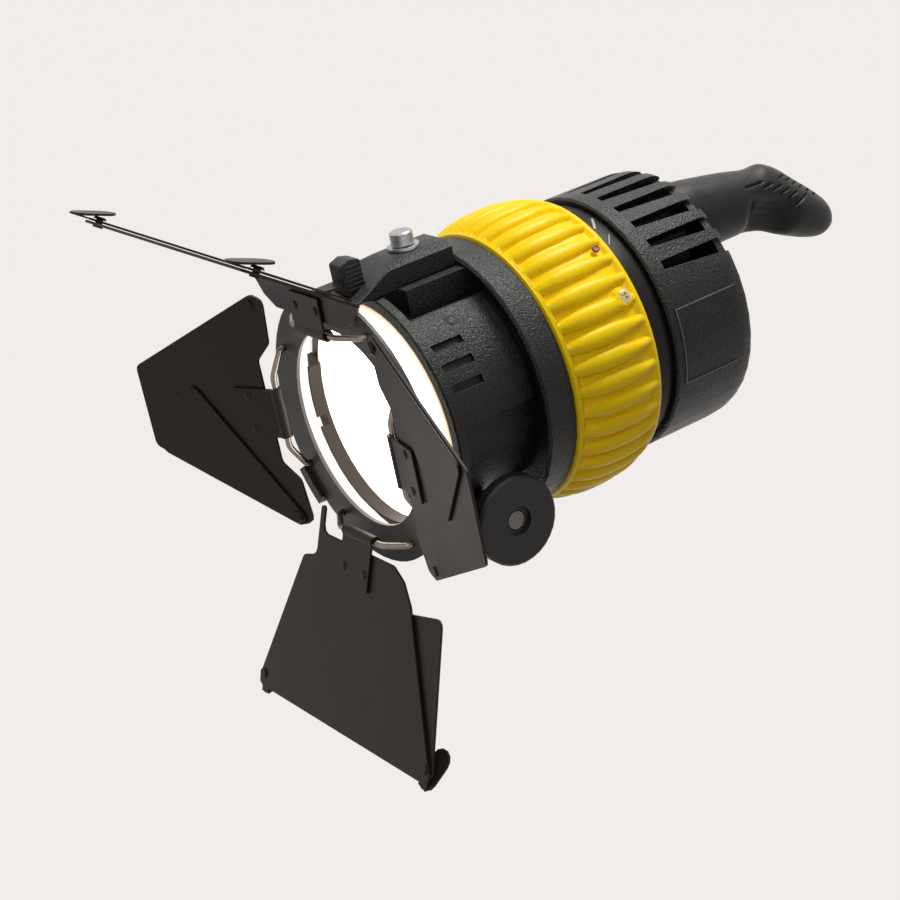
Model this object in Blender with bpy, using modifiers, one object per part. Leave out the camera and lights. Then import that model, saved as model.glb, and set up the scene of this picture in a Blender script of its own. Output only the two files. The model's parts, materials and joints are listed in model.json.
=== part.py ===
"""LED studio spotlight with a focus ring, a rear grip and a four-leaf barndoor.

The lamp's optical axis runs along Y and the light leaves towards -Y. The world origin is the
centre of the mouth of the 16 mm stand receiver, which holds the whole lamp up.
"""
import math

import bmesh
import bpy
from mathutils import Matrix, Vector

GAP = 0.0003
FIT = 0.0004
STEPS = 40

# Stand mount and tilt
SPIGOT_BORE_RADIUS = 0.00815
SPIGOT_BORE_DEPTH = 0.035
RECEIVER_RADIUS = 0.012
RECEIVER_HEIGHT = 0.042
TILT_HEIGHT = 0.0285
AXIS_RISE = 0.0399
MOUNT_SIDE = 0.070
TILT_BACK = 0.03345
TILT_BOLT_RADIUS = 0.0035
TILT_BOSS_RADIUS = 0.009
LUG_RADIUS = 0.008
LUG_INNER_X = -0.034
LUG_OUTER_X = 0.012
WASHER_THICKNESS = 0.0015
BOLT_SEAT_WALL = 0.004
SPACER_RADIUS = 0.0052
SPACER_LENGTH = 0.0264
KNOB_RADIUS = 0.01715
KNOB_THICKNESS = 0.006
KNOB_RECESS_RADIUS = 0.0055
KNOB_RECESS_DEPTH = 0.0015
SPIGOT_SCREW_RADIUS = 0.003
SPIGOT_SCREW_HEIGHT = 0.015
SCREW_BOSS_RADIUS = 0.0062
SCREW_BOSS_LENGTH = 0.004
SCREW_GRIP_RADIUS = 0.0075
SCREW_GRIP_LENGTH = 0.008

# Front housing
TUBE_RADIUS = 0.0402
TUBE_WALL = 0.0046
TUBE_FRONT_Y = 0.0187
POD_RADIUS = 0.044
POD_START = math.radians(3)
POD_END = math.radians(61)
POD_REAR_Y = 0.0508
VENT_ANGLES = [math.radians(a) for a in (21.5, 32.0, 42.5)]
VENT_WIDTH = 0.003
VENT_LENGTH = 0.013
VENT_FRONT_Y = 0.020
VENT_DEPTH = 0.002
LIP_RADIUS = 0.052
LIP_WALL = 0.003
LIP_FRONT_Y = 0.050
LIP_REAR_Y = 0.062
POCKET_FLOOR_Y = 0.0553
POCKET_FLOOR = 0.002
SLEEVE_RADIUS = 0.0475
SLEEVE_WALL = 0.0025
SLEEVE_REAR_Y = 0.1095
PEDESTAL_HALF_WIDTH = 0.016
PEDESTAL_TOP_Z = 0.0477
PEDESTAL_FRONT_Y = 0.024

# Lens and accessory seat
RIM_RADIUS = 0.0485
RIM_THICKNESS = 0.0028
RIM_WEB = 0.0023
LENS_RADIUS = 0.0439
LENS_EDGE = 0.0025
LENS_BULGE = 0.006
RETAINER_INNER_RADIUS = 0.040
RETAINER_SHEET = 0.0010
RETAINER_HEIGHT = 0.0052
RETAINER_START = math.radians(160)
RETAINER_END = math.radians(300)

# Accessory arm and latch
ARM_HALF_WIDTH = 0.011
ARM_CROWN_HALF_WIDTH = 0.0064
ARM_CROWN_DROP = 0.0022
ARM_TOP_Z = 0.0575
ARM_FRONT_Y = 0.004
ARM_FRONT_THICKNESS = 0.0014
ARM_UNDERSIDE_Z = 0.0472
ARM_SCREW_Y = 0.036
ARM_SCREW_RADIUS = 0.0022
ARM_SCREW_HEAD_RADIUS = 0.004
ARM_SCREW_HEAD_HEIGHT = 0.005
ARM_WASHER_RADIUS = 0.006
ARM_WASHER_THICKNESS = 0.001
LATCH_HALF_WIDTH = 0.004
LATCH_FRONT_Y = 0.0067
LATCH_REAR_Y = 0.0150
LATCH_BASE_Z = 0.0493
LATCH_HEIGHT = 0.0130
LATCH_FLOOR = 0.0018
LATCH_HOOK_HALF_WIDTH = 0.0034
LATCH_HOOK_THICKNESS = 0.0011
LATCH_HOOK_OVERLAP = 0.0016
LATCH_TRAVEL = 0.003
LATCH_POST_RADIUS = 0.0013
LATCH_POST_HEAD_RADIUS = 0.0026
LATCH_BORE_RADIUS = 0.0030
CLAW_ANGLE = math.radians(-38)
CLAW_SPAN = math.radians(16)
CLAW_WALL = 0.003
CLAW_GRIP = 0.0016
CLAW_LIP = 0.0015

# Focus drive
FOCUS_FRONT_Y = 0.0624
FOCUS_LENGTH = 0.0386
FOCUS_CROWN_RADIUS = 0.0573
FOCUS_EDGE_RADIUS = 0.0530
FOCUS_RIBS = 40
FOCUS_RIB_HEIGHT = 0.0018
FOCUS_TURN = math.radians(120)
CARRIAGE_TRAVEL = 0.020
CARRIAGE_FRONT_Y = 0.0795
CARRIAGE_LENGTH = 0.014
CARRIAGE_WALL = 0.006
CARRIAGE_SILL = 0.003
DRIVE_PIN_RADIUS = 0.0015
DRIVE_PIN_REACH = 0.0020
CAM_CLEARANCE = 0.0007
CAM_STEPS = 18
INNER_LENS_BULGE = 0.005
INNER_LENS_EDGE = 0.003
NECK_RADIUS = 0.050
NECK_LENGTH = 0.0095
FOCUS_SCREW_RADIUS = 0.0022
FOCUS_SCREW_ANGLE = math.radians(28.4)
FOCUS_SCREW_Y = 0.093

# Rear housing
REAR_RADIUS = 0.0514
REAR_WALL = 0.003
REAR_FRONT_WALL = 0.0022
REAR_LENGTH = 0.038
REAR_ROUNDING = 0.008
SLOT_COUNT = 11
SLOT_PITCH = math.radians(11.1)
SLOT_FRONT_OFFSET = 0.0068
SLOT_FRONT_WIDTH = 0.0034
SLOT_REAR_WIDTH = 0.0064
SINK_BASE = 0.0045
SINK_SPIGOT = 0.0070
FIN_COUNT = 11
FIN_THICKNESS = 0.0018
FIN_LENGTH = 0.020
BOARD_RADIUS = 0.020
BOARD_THICKNESS = 0.0015
EMITTER_RADIUS = 0.009
EMITTER_HEIGHT = 0.0028
COVER_THICKNESS = 0.003
COVER_INSET = 0.0035

# Handle and inlet
HANDLE_ROOT_Z = 0.0265
HANDLE_ROOT_HALF_HEIGHT = 0.0155
HANDLE_ROOT_HALF_WIDTH = 0.0135
HANDLE_LENGTH = 0.088
HANDLE_DROP = 0.0265
HANDLE_CURVE = [(0, 0, 1), (0.05, 0, 0.995), (0.10, 0, 0.985), (0.19, 0.02, 0.97), (0.43, 0.09, 0.85),
                (0.60, 0.25, 0.81), (0.75, 0.49, 0.735), (0.875, 0.736, 0.62), (0.955, 0.906, 0.45),
                (1, 1, 0.19)]
HANDLE_SCREW_SPACING = 0.018
HANDLE_SCREW_RADIUS = 0.002
HANDLE_SCREW_HEAD_RADIUS = 0.0035
HANDLE_SCREW_HEAD_HEIGHT = 0.0022
HANDLE_SCREW_DEPTH = 0.012
INLET_Z = -0.022
INLET_FLANGE_RADIUS = 0.011
INLET_BARREL_RADIUS = 0.008
INLET_BORE_RADIUS = 0.0062
INLET_LENGTH = 0.008
INLET_FLANGE_THICKNESS = 0.0016
INLET_FLOOR = 0.001

# Barndoor ring and leaves
RING_BORE_RADIUS = 0.0384
RING_RADIUS = 0.0527
RING_THICKNESS = 0.0015
RING_TO_RIM = 0.0133
SHIELD_RADIUS = 0.0505
SHIELD_WALL = 0.0012
SHIELD_START = math.radians(104)
SHIELD_END = math.radians(325)
HINGE_RADIUS = 0.0409
HINGE_Y = -0.0073
WIRE_RADIUS = 0.0012
WIRE_HALF_LENGTH = 0.014
WIRE_FOOT_SPREAD = 0.024
WIRE_FOOT_RADIUS = 0.0472
LEAF_THICKNESS = 0.0010
FLAP_THICKNESS = 0.0008
FLARED_NECK_HALF = 0.0237
STEP_NECK_INNER = 0.0257
STEP_NECK_HALF = 0.0283
STEP_NECK_HINGE_V = -0.0050
STEP_NECK_V = 0.0143
FLARED_NECK_V = 0.0051
FLARED_SHOULDER_HALF = 0.0373
FLARED_SHOULDER_V = 0.0166
FLARED_OUTER_HALF = 0.0622
FLARED_LENGTH = 0.0761
TAPERED_INNER_HALF = 0.0475
TAPERED_INNER_V = 0.0025
TAPERED_EAR_V = -0.0036
TAPERED_NOTCH_HALF = 0.021
TAPERED_NOTCH_V = 0.0052
TAPERED_OUTER_HALF = 0.0170
TAPERED_LENGTH = 0.0664
LEAF_CORNER_RADIUS = 0.003
PIVOT_INSET = 0.0045
RIVET_RADIUS = 0.0013
RIVET_HEAD_RADIUS = 0.0026
RIVET_HEAD_HEIGHT = 0.0010
RIVET_EDGE = 0.0007
RIVET_TAIL = 0.0006
RIVET_SINK = 0.0002
FLAP_EDGE_OFFSET = 0.0030
FLAP_SPREAD = math.radians(28)
FLARED_FLAP_LENGTH = 0.0545
FLARED_FLAP_END_SLANT = 0.0055
TAPERED_FLAP_LENGTH = 0.066
EAR_CUT = {("right", 1): 0.0115}
TAB_HALF_LENGTH = 0.0085
TAB_HALF_WIDTH = 0.0045
TAB_TILT = {"top": math.radians(15), "bottom": math.radians(20)}
TAB_SHIFT = {"top": 0.0033, "bottom": 0.0005}
TAB_TONGUE_HALF_WIDTH = 0.0025
CLIP_HALF_WIDTH = 0.010
CLIP_LENGTH = 0.0194
CLIP_THICKNESS = 0.0008
CLIP_BEND_CLEARANCE = 0.0012
OPENING = {"top": 91.3, "bottom": 68.8, "left": 66.1, "right": 79.5}
LEAF_BEND = {"top": math.radians(56.7), "bottom": 0.0, "left": 0.0, "right": 0.0}
LEAF_BEND_V = 0.0155
SWUNG_FLAP = math.radians(17.6)

# Sizes that follow
TUBE_BORE = TUBE_RADIUS - TUBE_WALL
SLEEVE_BORE = SLEEVE_RADIUS - SLEEVE_WALL
RIM_FRONT_Y = RING_TO_RIM
LENS_BACK_Y = RIM_FRONT_Y + RIM_THICKNESS - GAP
RIM_BACK_Y = TUBE_FRONT_Y - GAP
NECK_FRONT_Y = FOCUS_FRONT_Y + FOCUS_LENGTH + GAP
REAR_FRONT_Y = NECK_FRONT_Y + NECK_LENGTH + GAP
REAR_BACK_Y = REAR_FRONT_Y + REAR_LENGTH
REAR_BORE = REAR_RADIUS - REAR_WALL
SINK_BASE_Y = REAR_FRONT_Y + REAR_FRONT_WALL + GAP
SINK_FRONT_Y = SINK_BASE_Y - SINK_SPIGOT
BOARD_FRONT_Y = SINK_FRONT_Y - GAP - BOARD_THICKNESS
COVER_BACK_Y = REAR_BACK_Y - COVER_INSET + COVER_THICKNESS
COVER_FRONT_Y = REAR_BACK_Y - COVER_INSET
KNOB_INNER_X = LUG_OUTER_X + GAP + SPACER_LENGTH + GAP
FLAP_LIFT = LEAF_THICKNESS / 2 + GAP + FLAP_THICKNESS / 2
TAPERED_SLOPE = (TAPERED_INNER_HALF - TAPERED_OUTER_HALF) / (TAPERED_LENGTH - TAPERED_INNER_V)

for leftover in list(bpy.data.objects):
    bpy.data.objects.remove(leftover)

PARTS = bpy.data.collections.new("led_studio_spotlight")
CUTTERS = bpy.data.collections.new("cutters")
bpy.context.scene.collection.children.link(PARTS)
bpy.context.scene.collection.children.link(CUTTERS)


def material(name, colour, roughness, metallic=0.0):
    made = bpy.data.materials.new(name)
    made.use_nodes = True
    shader = made.node_tree.nodes["Principled BSDF"]
    shader.inputs["Base Color"].default_value = (*colour, 1)
    shader.inputs["Roughness"].default_value = roughness
    shader.inputs["Metallic"].default_value = metallic
    made.diffuse_color = (*colour, 1)
    return made


BLACK_BODY = material("textured_black", (0.018, 0.018, 0.017), 0.45)
SATIN_BLACK = material("satin_black_sheet", (0.020, 0.017, 0.015), 0.38)
GRIP_BLACK = material("grip_black", (0.016, 0.016, 0.016), 0.5)
YELLOW = material("glossy_yellow", (0.90, 0.62, 0.02), 0.22)
STEEL = material("polished_steel", (0.62, 0.61, 0.59), 0.25, 1.0)
ALUMINIUM = material("aluminium", (0.75, 0.74, 0.72), 0.35, 1.0)
GLASS = material("lens_glass", (0.95, 0.93, 0.88), 0.08)
BOARD_WHITE = material("board_white", (0.80, 0.80, 0.78), 0.5)
PHOSPHOR = material("led_phosphor", (0.95, 0.80, 0.20), 0.5)
BRASS = material("brass", (0.72, 0.53, 0.25), 0.35, 1.0)


def axis_empty(name, parent, location):
    empty = bpy.data.objects.new(name, None)
    PARTS.objects.link(empty)
    empty.parent = parent
    empty.location = location
    return empty


TILT_AXIS = axis_empty("tilt_axis", None, (MOUNT_SIDE, 0, TILT_HEIGHT))
OPTICAL_AXIS = axis_empty("optical_axis", TILT_AXIS, (0, -TILT_BACK, AXIS_RISE))

ALONG_X = (0, math.pi / 2, 0)
ALONG_Y = (-math.pi / 2, 0, 0)


def from_bmesh(name, shape):
    mesh = bpy.data.meshes.new(name)
    bmesh.ops.recalc_face_normals(shape, faces=shape.faces)
    shape.to_mesh(mesh)
    shape.free()
    return bpy.data.objects.new(name, mesh)


def rod(name, radius, length, segments=20):
    """A round bar along its own Z, standing on its origin."""
    shape = bmesh.new()
    bmesh.ops.create_cone(shape, cap_ends=True, segments=segments, radius1=radius, radius2=radius,
                          depth=length, matrix=Matrix.Translation((0, 0, length / 2)))
    return from_bmesh(name, shape)


def block(name, low, high):
    """A box between two corners."""
    shape = bmesh.new()
    low = Vector(low)
    high = Vector(high)
    place = Matrix.Translation((low + high) / 2) @ Matrix.Diagonal((*(high - low), 1))
    bmesh.ops.create_cube(shape, size=1, matrix=place)
    return from_bmesh(name, shape)


def lathe(name, profile, steps=STEPS, closed=True):
    """Turn (radius, height) points about Z. They run down the outer side, then up the inner one."""
    mesh = bpy.data.meshes.new(name)
    count = len(profile)
    edges = [(i, i + 1) for i in range(count - 1)]
    if closed:
        edges.append((count - 1, 0))
    mesh.from_pydata([(r, 0, h) for r, h in profile], edges, [])
    obj = bpy.data.objects.new(name, mesh)
    screw = obj.modifiers.new("turn", "SCREW")
    screw.steps = steps
    screw.render_steps = steps
    screw.use_merge_vertices = True
    screw.merge_threshold = 0.00001
    screw.use_smooth_shade = False
    return obj


def sector(name, profile, start, end, steps):
    """Sweep (radius, y) points about the optical axis between two azimuths, from +X towards +Z."""
    shape = bmesh.new()
    ring = [shape.verts.new((r * math.cos(start), y, r * math.sin(start))) for r, y in profile]
    face = shape.faces.new(ring)
    bmesh.ops.spin(shape, geom=[face, *face.edges, *face.verts], cent=(0, 0, 0), axis=(0, -1, 0),
                   angle=end - start, steps=steps, use_merge=False, use_duplicate=False)
    return from_bmesh(name, shape)


def arc(centre, radius, start, end, count):
    """Points on an arc, both ends included."""
    turns = [start + (end - start) * i / count for i in range(count + 1)]
    return [(centre[0] + radius * math.cos(t), centre[1] + radius * math.sin(t)) for t in turns]


def rounded(corners, radius, count=3):
    """An outline whose corners are arcs of one radius, or of less where a side is short."""
    points = []
    for i, corner in enumerate(corners):
        here = Vector(corner)
        before = (Vector(corners[i - 1]) - here)
        after = (Vector(corners[(i + 1) % len(corners)]) - here)
        half = before.angle(after) / 2
        reach = min(radius / math.tan(half), before.length * 0.45, after.length * 0.45)
        size = reach * math.tan(half)
        centre = here + (before.normalized() + after.normalized()).normalized() * size / math.sin(half)
        first = here + before.normalized() * reach - centre
        last = here + after.normalized() * reach - centre
        start = math.atan2(first.y, first.x)
        turn = math.remainder(math.atan2(last.y, last.x) - start, 2 * math.pi)
        points += arc(centre, size, start, start + turn, count)
    return points


def smooth(points, count):
    """A smooth run of points through the given ones, with count steps from each to the next."""
    given = [Vector(point) for point in points]
    run = []
    for i in range(len(given) - 1):
        here = given[i]
        there = given[i + 1]
        leave = (there - given[max(i - 1, 0)]) / 2
        arrive = (given[min(i + 2, len(given) - 1)] - here) / 2
        for k in range(count):
            t = k / count
            run.append(here * (2 * t ** 3 - 3 * t ** 2 + 1) + leave * (t ** 3 - 2 * t ** 2 + t)
                       + there * (3 * t ** 2 - 2 * t ** 3) + arrive * (t ** 3 - t ** 2))
    return run + [given[-1]]


def sheet(name, outlines, thickness):
    """A flat sheet in its own XY plane, centred on it, from an outline and its holes."""
    curve = bpy.data.curves.new(name, "CURVE")
    curve.dimensions = "2D"
    curve.fill_mode = "BOTH"
    curve.extrude = thickness / 2
    for outline in outlines:
        spline = curve.splines.new("POLY")
        spline.points.add(len(outline) - 1)
        for point, (x, y) in zip(spline.points, outline):
            point.co = (x, y, 0, 1)
        spline.use_cyclic_u = True
    return meshed(bpy.data.objects.new(name, curve))


def wire(name, points, radius, radii=None, resolution=2):
    """A round bar along points, with closed ends."""
    curve = bpy.data.curves.new(name, "CURVE")
    curve.dimensions = "3D"
    curve.bevel_depth = radius
    curve.bevel_resolution = resolution
    curve.use_fill_caps = True
    spline = curve.splines.new("POLY")
    spline.points.add(len(points) - 1)
    for i, point in enumerate(points):
        spline.points[i].co = (*point, 1)
        spline.points[i].radius = 1 if radii is None else radii[i]
    return meshed(bpy.data.objects.new(name, curve))


def meshed(source):
    """The object with its curve or modifiers made into one welded mesh."""
    bpy.context.scene.collection.objects.link(source)
    depsgraph = bpy.context.evaluated_depsgraph_get()
    mesh = bpy.data.meshes.new_from_object(source.evaluated_get(depsgraph))
    shape = bmesh.new()
    shape.from_mesh(mesh)
    bmesh.ops.remove_doubles(shape, verts=shape.verts, dist=0.000005)
    bmesh.ops.recalc_face_normals(shape, faces=shape.faces)
    shape.to_mesh(mesh)
    shape.free()
    name = source.name
    place = source.matrix_world.copy()
    bpy.data.objects.remove(source)
    made = bpy.data.objects.new(name, mesh)
    made.matrix_world = place
    return made


def put(obj, look, parent=None, location=(0, 0, 0), rotation=(0, 0, 0)):
    """Give a finished piece its material and its place."""
    PARTS.objects.link(obj)
    obj.data.materials.clear()
    obj.data.materials.append(look)
    obj.parent = parent
    obj.location = location
    obj.rotation_euler = rotation
    obj.data.shade_smooth()
    obj.data.set_sharp_from_angle(angle=math.radians(35))
    return obj


def tool(obj, parent=None, location=(0, 0, 0), rotation=(0, 0, 0)):
    """Give a cutter, or a shape that is joined on, its place."""
    CUTTERS.objects.link(obj)
    obj.parent = parent
    obj.location = location
    obj.rotation_euler = rotation
    obj.hide_render = True
    obj.display_type = "WIRE"
    return obj


def cut(obj, cutter):
    change = obj.modifiers.new("cut", "BOOLEAN")
    change.operation = "DIFFERENCE"
    change.object = cutter


def join(obj, other):
    change = obj.modifiers.new("join", "BOOLEAN")
    change.operation = "UNION"
    change.object = other


def around(angle, radius, y):
    """A point at an azimuth from +X towards +Z about the optical axis."""
    return (radius * math.cos(angle), y, radius * math.sin(angle))


# Stand mount, which carries the lamp on a 16 mm spigot
def stand_mount():
    top = RECEIVER_HEIGHT
    profile = [(0, top), (RECEIVER_RADIUS - 0.001, top), (RECEIVER_RADIUS, top - 0.001),
               (RECEIVER_RADIUS, 0), (SPIGOT_BORE_RADIUS, 0), (SPIGOT_BORE_RADIUS, SPIGOT_BORE_DEPTH),
               (0, SPIGOT_BORE_DEPTH)]
    body = put(lathe("stand_mount", profile, 24, closed=False), BLACK_BODY)
    seat_x = MOUNT_SIDE + LUG_INNER_X - GAP - WASHER_THICKNESS - GAP
    hub_x = SPIGOT_BORE_RADIUS + 0.001
    join(body, tool(rod("tilt_boss", TILT_BOSS_RADIUS, seat_x - hub_x, 24), None,
                    (hub_x, 0, TILT_HEIGHT), ALONG_X))
    boss_x = -RECEIVER_RADIUS - SCREW_BOSS_LENGTH
    boss_length = SCREW_BOSS_LENGTH + RECEIVER_RADIUS - SPIGOT_BORE_RADIUS - 0.001
    join(body, tool(rod("screw_boss", SCREW_BOSS_RADIUS, boss_length), None,
                    (boss_x, 0, SPIGOT_SCREW_HEIGHT), ALONG_X))
    hole_x = SPIGOT_BORE_RADIUS + BOLT_SEAT_WALL
    hole = tool(rod("tilt_bolt_hole", TILT_BOLT_RADIUS + GAP, seat_x - hole_x + 0.002), None,
                (hole_x, 0, TILT_HEIGHT), ALONG_X)
    cut(body, hole)
    thread = tool(rod("spigot_screw_hole", SPIGOT_SCREW_RADIUS + GAP, boss_length + 0.006), None,
                  (boss_x - 0.002, 0, SPIGOT_SCREW_HEIGHT), ALONG_X)
    cut(body, thread)


def spigot_screw():
    """The thumb screw that locks the spigot, its axis across the bore."""
    grip_x = -RECEIVER_RADIUS - SCREW_BOSS_LENGTH - 0.001
    reach = -SPIGOT_BORE_RADIUS - GAP - grip_x
    grip = [(0, 0), (SPIGOT_SCREW_RADIUS, 0), (SPIGOT_SCREW_RADIUS, -reach),
            (SCREW_GRIP_RADIUS - 0.001, -reach), (SCREW_GRIP_RADIUS, -reach - 0.001),
            (SCREW_GRIP_RADIUS, -reach - SCREW_GRIP_LENGTH + 0.001),
            (SCREW_GRIP_RADIUS - 0.001, -reach - SCREW_GRIP_LENGTH), (0, -reach - SCREW_GRIP_LENGTH)]
    put(lathe("spigot_screw", grip, steps=24, closed=False), STEEL, None,
        (-SPIGOT_BORE_RADIUS - GAP, 0, SPIGOT_SCREW_HEIGHT), ALONG_X)


def tilt_pieces():
    """The bolt, washer, spacer and clamping knob, all on the tilt axis."""
    start = SPIGOT_BORE_RADIUS + BOLT_SEAT_WALL + GAP
    end = MOUNT_SIDE + KNOB_INNER_X + KNOB_THICKNESS - KNOB_RECESS_DEPTH
    put(rod("tilt_bolt", TILT_BOLT_RADIUS, end - start, 24), STEEL, None, (start, 0, TILT_HEIGHT),
        ALONG_X)
    washer_x = MOUNT_SIDE + LUG_INNER_X - GAP - WASHER_THICKNESS
    hole = TILT_BOLT_RADIUS + GAP
    put(lathe("friction_washer", [(LUG_RADIUS, WASHER_THICKNESS), (LUG_RADIUS, 0), (hole, 0),
                                  (hole, WASHER_THICKNESS)], 32), BRASS, None,
        (washer_x, 0, TILT_HEIGHT), ALONG_X)
    put(lathe("tilt_spacer", [(SPACER_RADIUS, SPACER_LENGTH), (SPACER_RADIUS, 0), (hole, 0),
                              (hole, SPACER_LENGTH)], 24), STEEL, None,
        (MOUNT_SIDE + LUG_OUTER_X + GAP, 0, TILT_HEIGHT), ALONG_X)
    face = KNOB_THICKNESS
    floor = KNOB_THICKNESS - KNOB_RECESS_DEPTH
    knob = [(KNOB_RECESS_RADIUS, face), (KNOB_RADIUS - 0.001, face), (KNOB_RADIUS, face - 0.001),
            (KNOB_RADIUS, 0.001), (KNOB_RADIUS - 0.001, 0), (hole, 0), (hole, floor),
            (KNOB_RECESS_RADIUS, floor)]
    put(lathe("tilt_knob", knob, 30), BLACK_BODY, None, (MOUNT_SIDE + KNOB_INNER_X, 0, TILT_HEIGHT),
        ALONG_X)


# Front housing with its pods, pedestal, lip, focusing sleeve and tilt lug
def front_housing():
    web_y = POCKET_FLOOR_Y + POCKET_FLOOR
    shell = [(SLEEVE_RADIUS, SLEEVE_REAR_Y), (SLEEVE_RADIUS, LIP_REAR_Y), (LIP_RADIUS, LIP_REAR_Y),
             (LIP_RADIUS, LIP_FRONT_Y + 0.001), (LIP_RADIUS - 0.001, LIP_FRONT_Y),
             (LIP_RADIUS - LIP_WALL + 0.0006, LIP_FRONT_Y),
             (LIP_RADIUS - LIP_WALL, LIP_FRONT_Y + 0.0006), (LIP_RADIUS - LIP_WALL, POCKET_FLOOR_Y),
             (TUBE_RADIUS, POCKET_FLOOR_Y), (TUBE_RADIUS, TUBE_FRONT_Y), (TUBE_BORE, TUBE_FRONT_Y),
             (TUBE_BORE, web_y), (SLEEVE_BORE, web_y), (SLEEVE_BORE, SLEEVE_REAR_Y)]
    housing = put(lathe("front_housing", shell), BLACK_BODY, OPTICAL_AXIS, (0, 0, 0), ALONG_Y)
    root = TUBE_RADIUS - TUBE_WALL / 2
    pod = [(root, TUBE_FRONT_Y), (POD_RADIUS, TUBE_FRONT_Y), (POD_RADIUS, POD_REAR_Y),
           (root, POD_REAR_Y)]
    span = POD_END - POD_START
    for side, start in (("near", POD_START), ("far", math.pi - POD_END)):
        join(housing, tool(sector(f"pod_{side}", pod, start, start + span, 10), OPTICAL_AXIS))
    floor_z = TUBE_BORE + 0.0005
    join(housing, tool(block("pedestal", (-PEDESTAL_HALF_WIDTH, PEDESTAL_FRONT_Y, floor_z),
                             (PEDESTAL_HALF_WIDTH, POCKET_FLOOR_Y + POCKET_FLOOR / 2, PEDESTAL_TOP_Z)),
                       OPTICAL_AXIS))
    join(housing, tilt_lug())
    lug_bore = rod("lug_bore", TILT_BOLT_RADIUS + GAP, LUG_OUTER_X - LUG_INNER_X + 0.008, 24)
    cut(housing, tool(lug_bore, OPTICAL_AXIS, (LUG_INNER_X - 0.004, TILT_BACK, -AXIS_RISE), ALONG_X))
    cut(housing, tool(rod("spacer_relief", SPACER_RADIUS + FIT, SPACER_LENGTH, 24), OPTICAL_AXIS,
                      (LUG_OUTER_X, TILT_BACK, -AXIS_RISE), ALONG_X))
    screw_floor = TUBE_RADIUS - 0.002
    cut(housing, tool(rod("arm_screw_hole", ARM_SCREW_RADIUS + GAP, PEDESTAL_TOP_Z + 0.002 - screw_floor),
                      OPTICAL_AXIS, (0, ARM_SCREW_Y, screw_floor)))
    for side in (0, 1):
        for i, angle in enumerate(VENT_ANGLES):
            azimuth = angle if side == 0 else math.pi - angle
            vent = block(f"vent_{side}_{i}",
                         (POD_RADIUS - VENT_DEPTH, VENT_FRONT_Y, -VENT_WIDTH / 2),
                         (POD_RADIUS + 0.004, VENT_FRONT_Y + VENT_LENGTH, VENT_WIDTH / 2))
            cut(housing, tool(vent, OPTICAL_AXIS, (0, 0, 0), (0, -azimuth, 0)))
        slot_low = CARRIAGE_FRONT_Y + CARRIAGE_LENGTH / 2 - CARRIAGE_TRAVEL - DRIVE_PIN_RADIUS - FIT
        slot_high = CARRIAGE_FRONT_Y + CARRIAGE_LENGTH / 2 + DRIVE_PIN_RADIUS + FIT
        slot = block(f"pin_slot_{side}", (SLEEVE_BORE - 0.002, slot_low, -DRIVE_PIN_RADIUS - FIT),
                     (SLEEVE_RADIUS + 0.002, slot_high, DRIVE_PIN_RADIUS + FIT))
        cut(housing, tool(slot, OPTICAL_AXIS, (0, 0, 0), (0, math.pi * side, 0)))


def tilt_lug():
    """The barrel under the tube that the tilt bolt passes through, with its gusset."""
    length = LUG_OUTER_X - LUG_INNER_X
    barrel = tool(rod("tilt_lug", LUG_RADIUS, length, 28), OPTICAL_AXIS,
                  (LUG_INNER_X, TILT_BACK, -AXIS_RISE), ALONG_X)
    inner = TUBE_BORE + 0.001
    gusset = block("lug_gusset", (LUG_INNER_X + 0.005, TILT_BACK - LUG_RADIUS + 0.001, -AXIS_RISE),
                   (0, TILT_BACK + LUG_RADIUS - 0.001, -AXIS_RISE + 0.0155))
    join(barrel, tool(gusset, OPTICAL_AXIS))
    clear = tool(rod("lug_clearance", inner, 2 * LUG_RADIUS + 0.02, STEPS), OPTICAL_AXIS,
                 (0, TILT_BACK - LUG_RADIUS - 0.01, 0), ALONG_Y)
    cut(barrel, clear)
    return barrel


# Lens, its rim with the accessory claws, and its retainer
def front_rim():
    seat_y = RIM_FRONT_Y + RIM_THICKNESS
    bore = TUBE_BORE + 0.0004
    rim = [(LENS_RADIUS + 0.0007, RIM_BACK_Y), (RIM_RADIUS, RIM_BACK_Y - 0.0014),
           (RIM_RADIUS, RIM_FRONT_Y + 0.0005), (RIM_RADIUS - 0.0005, RIM_FRONT_Y),
           (LENS_RADIUS + GAP, RIM_FRONT_Y), (LENS_RADIUS + GAP, seat_y), (bore, seat_y),
           (bore, RIM_BACK_Y)]
    obj = put(lathe("front_rim", rim), BLACK_BODY, OPTICAL_AXIS, (0, 0, 0), ALONG_Y)
    outer = RING_RADIUS + GAP + CLAW_WALL
    inside = RING_RADIUS + GAP
    lip = RING_RADIUS - CLAW_GRIP
    root = RIM_RADIUS - 0.002
    behind = RING_THICKNESS + GAP
    claw = [(root, RIM_FRONT_Y + 0.0004), (inside, RIM_FRONT_Y + 0.0004),
            (inside, behind + CLAW_LIP), (lip, behind + CLAW_LIP), (lip, behind), (inside, behind),
            (inside, -GAP), (lip, -GAP), (lip, -GAP - CLAW_LIP), (outer, -GAP - CLAW_LIP),
            (outer, RIM_BACK_Y - 0.003), (root, RIM_BACK_Y - 0.003)]
    for side, middle in (("near", CLAW_ANGLE), ("far", math.pi - CLAW_ANGLE)):
        start = middle - CLAW_SPAN / 2
        join(obj, tool(sector(f"claw_{side}", claw, start, start + CLAW_SPAN, 3), OPTICAL_AXIS))
    cut(obj, tool(block("arm_notch", (-ARM_HALF_WIDTH - FIT, RIM_FRONT_Y - 0.002, ARM_UNDERSIDE_Z - FIT),
                        (ARM_HALF_WIDTH + FIT, RIM_BACK_Y + 0.002, RIM_RADIUS + 0.004)), OPTICAL_AXIS))


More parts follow.
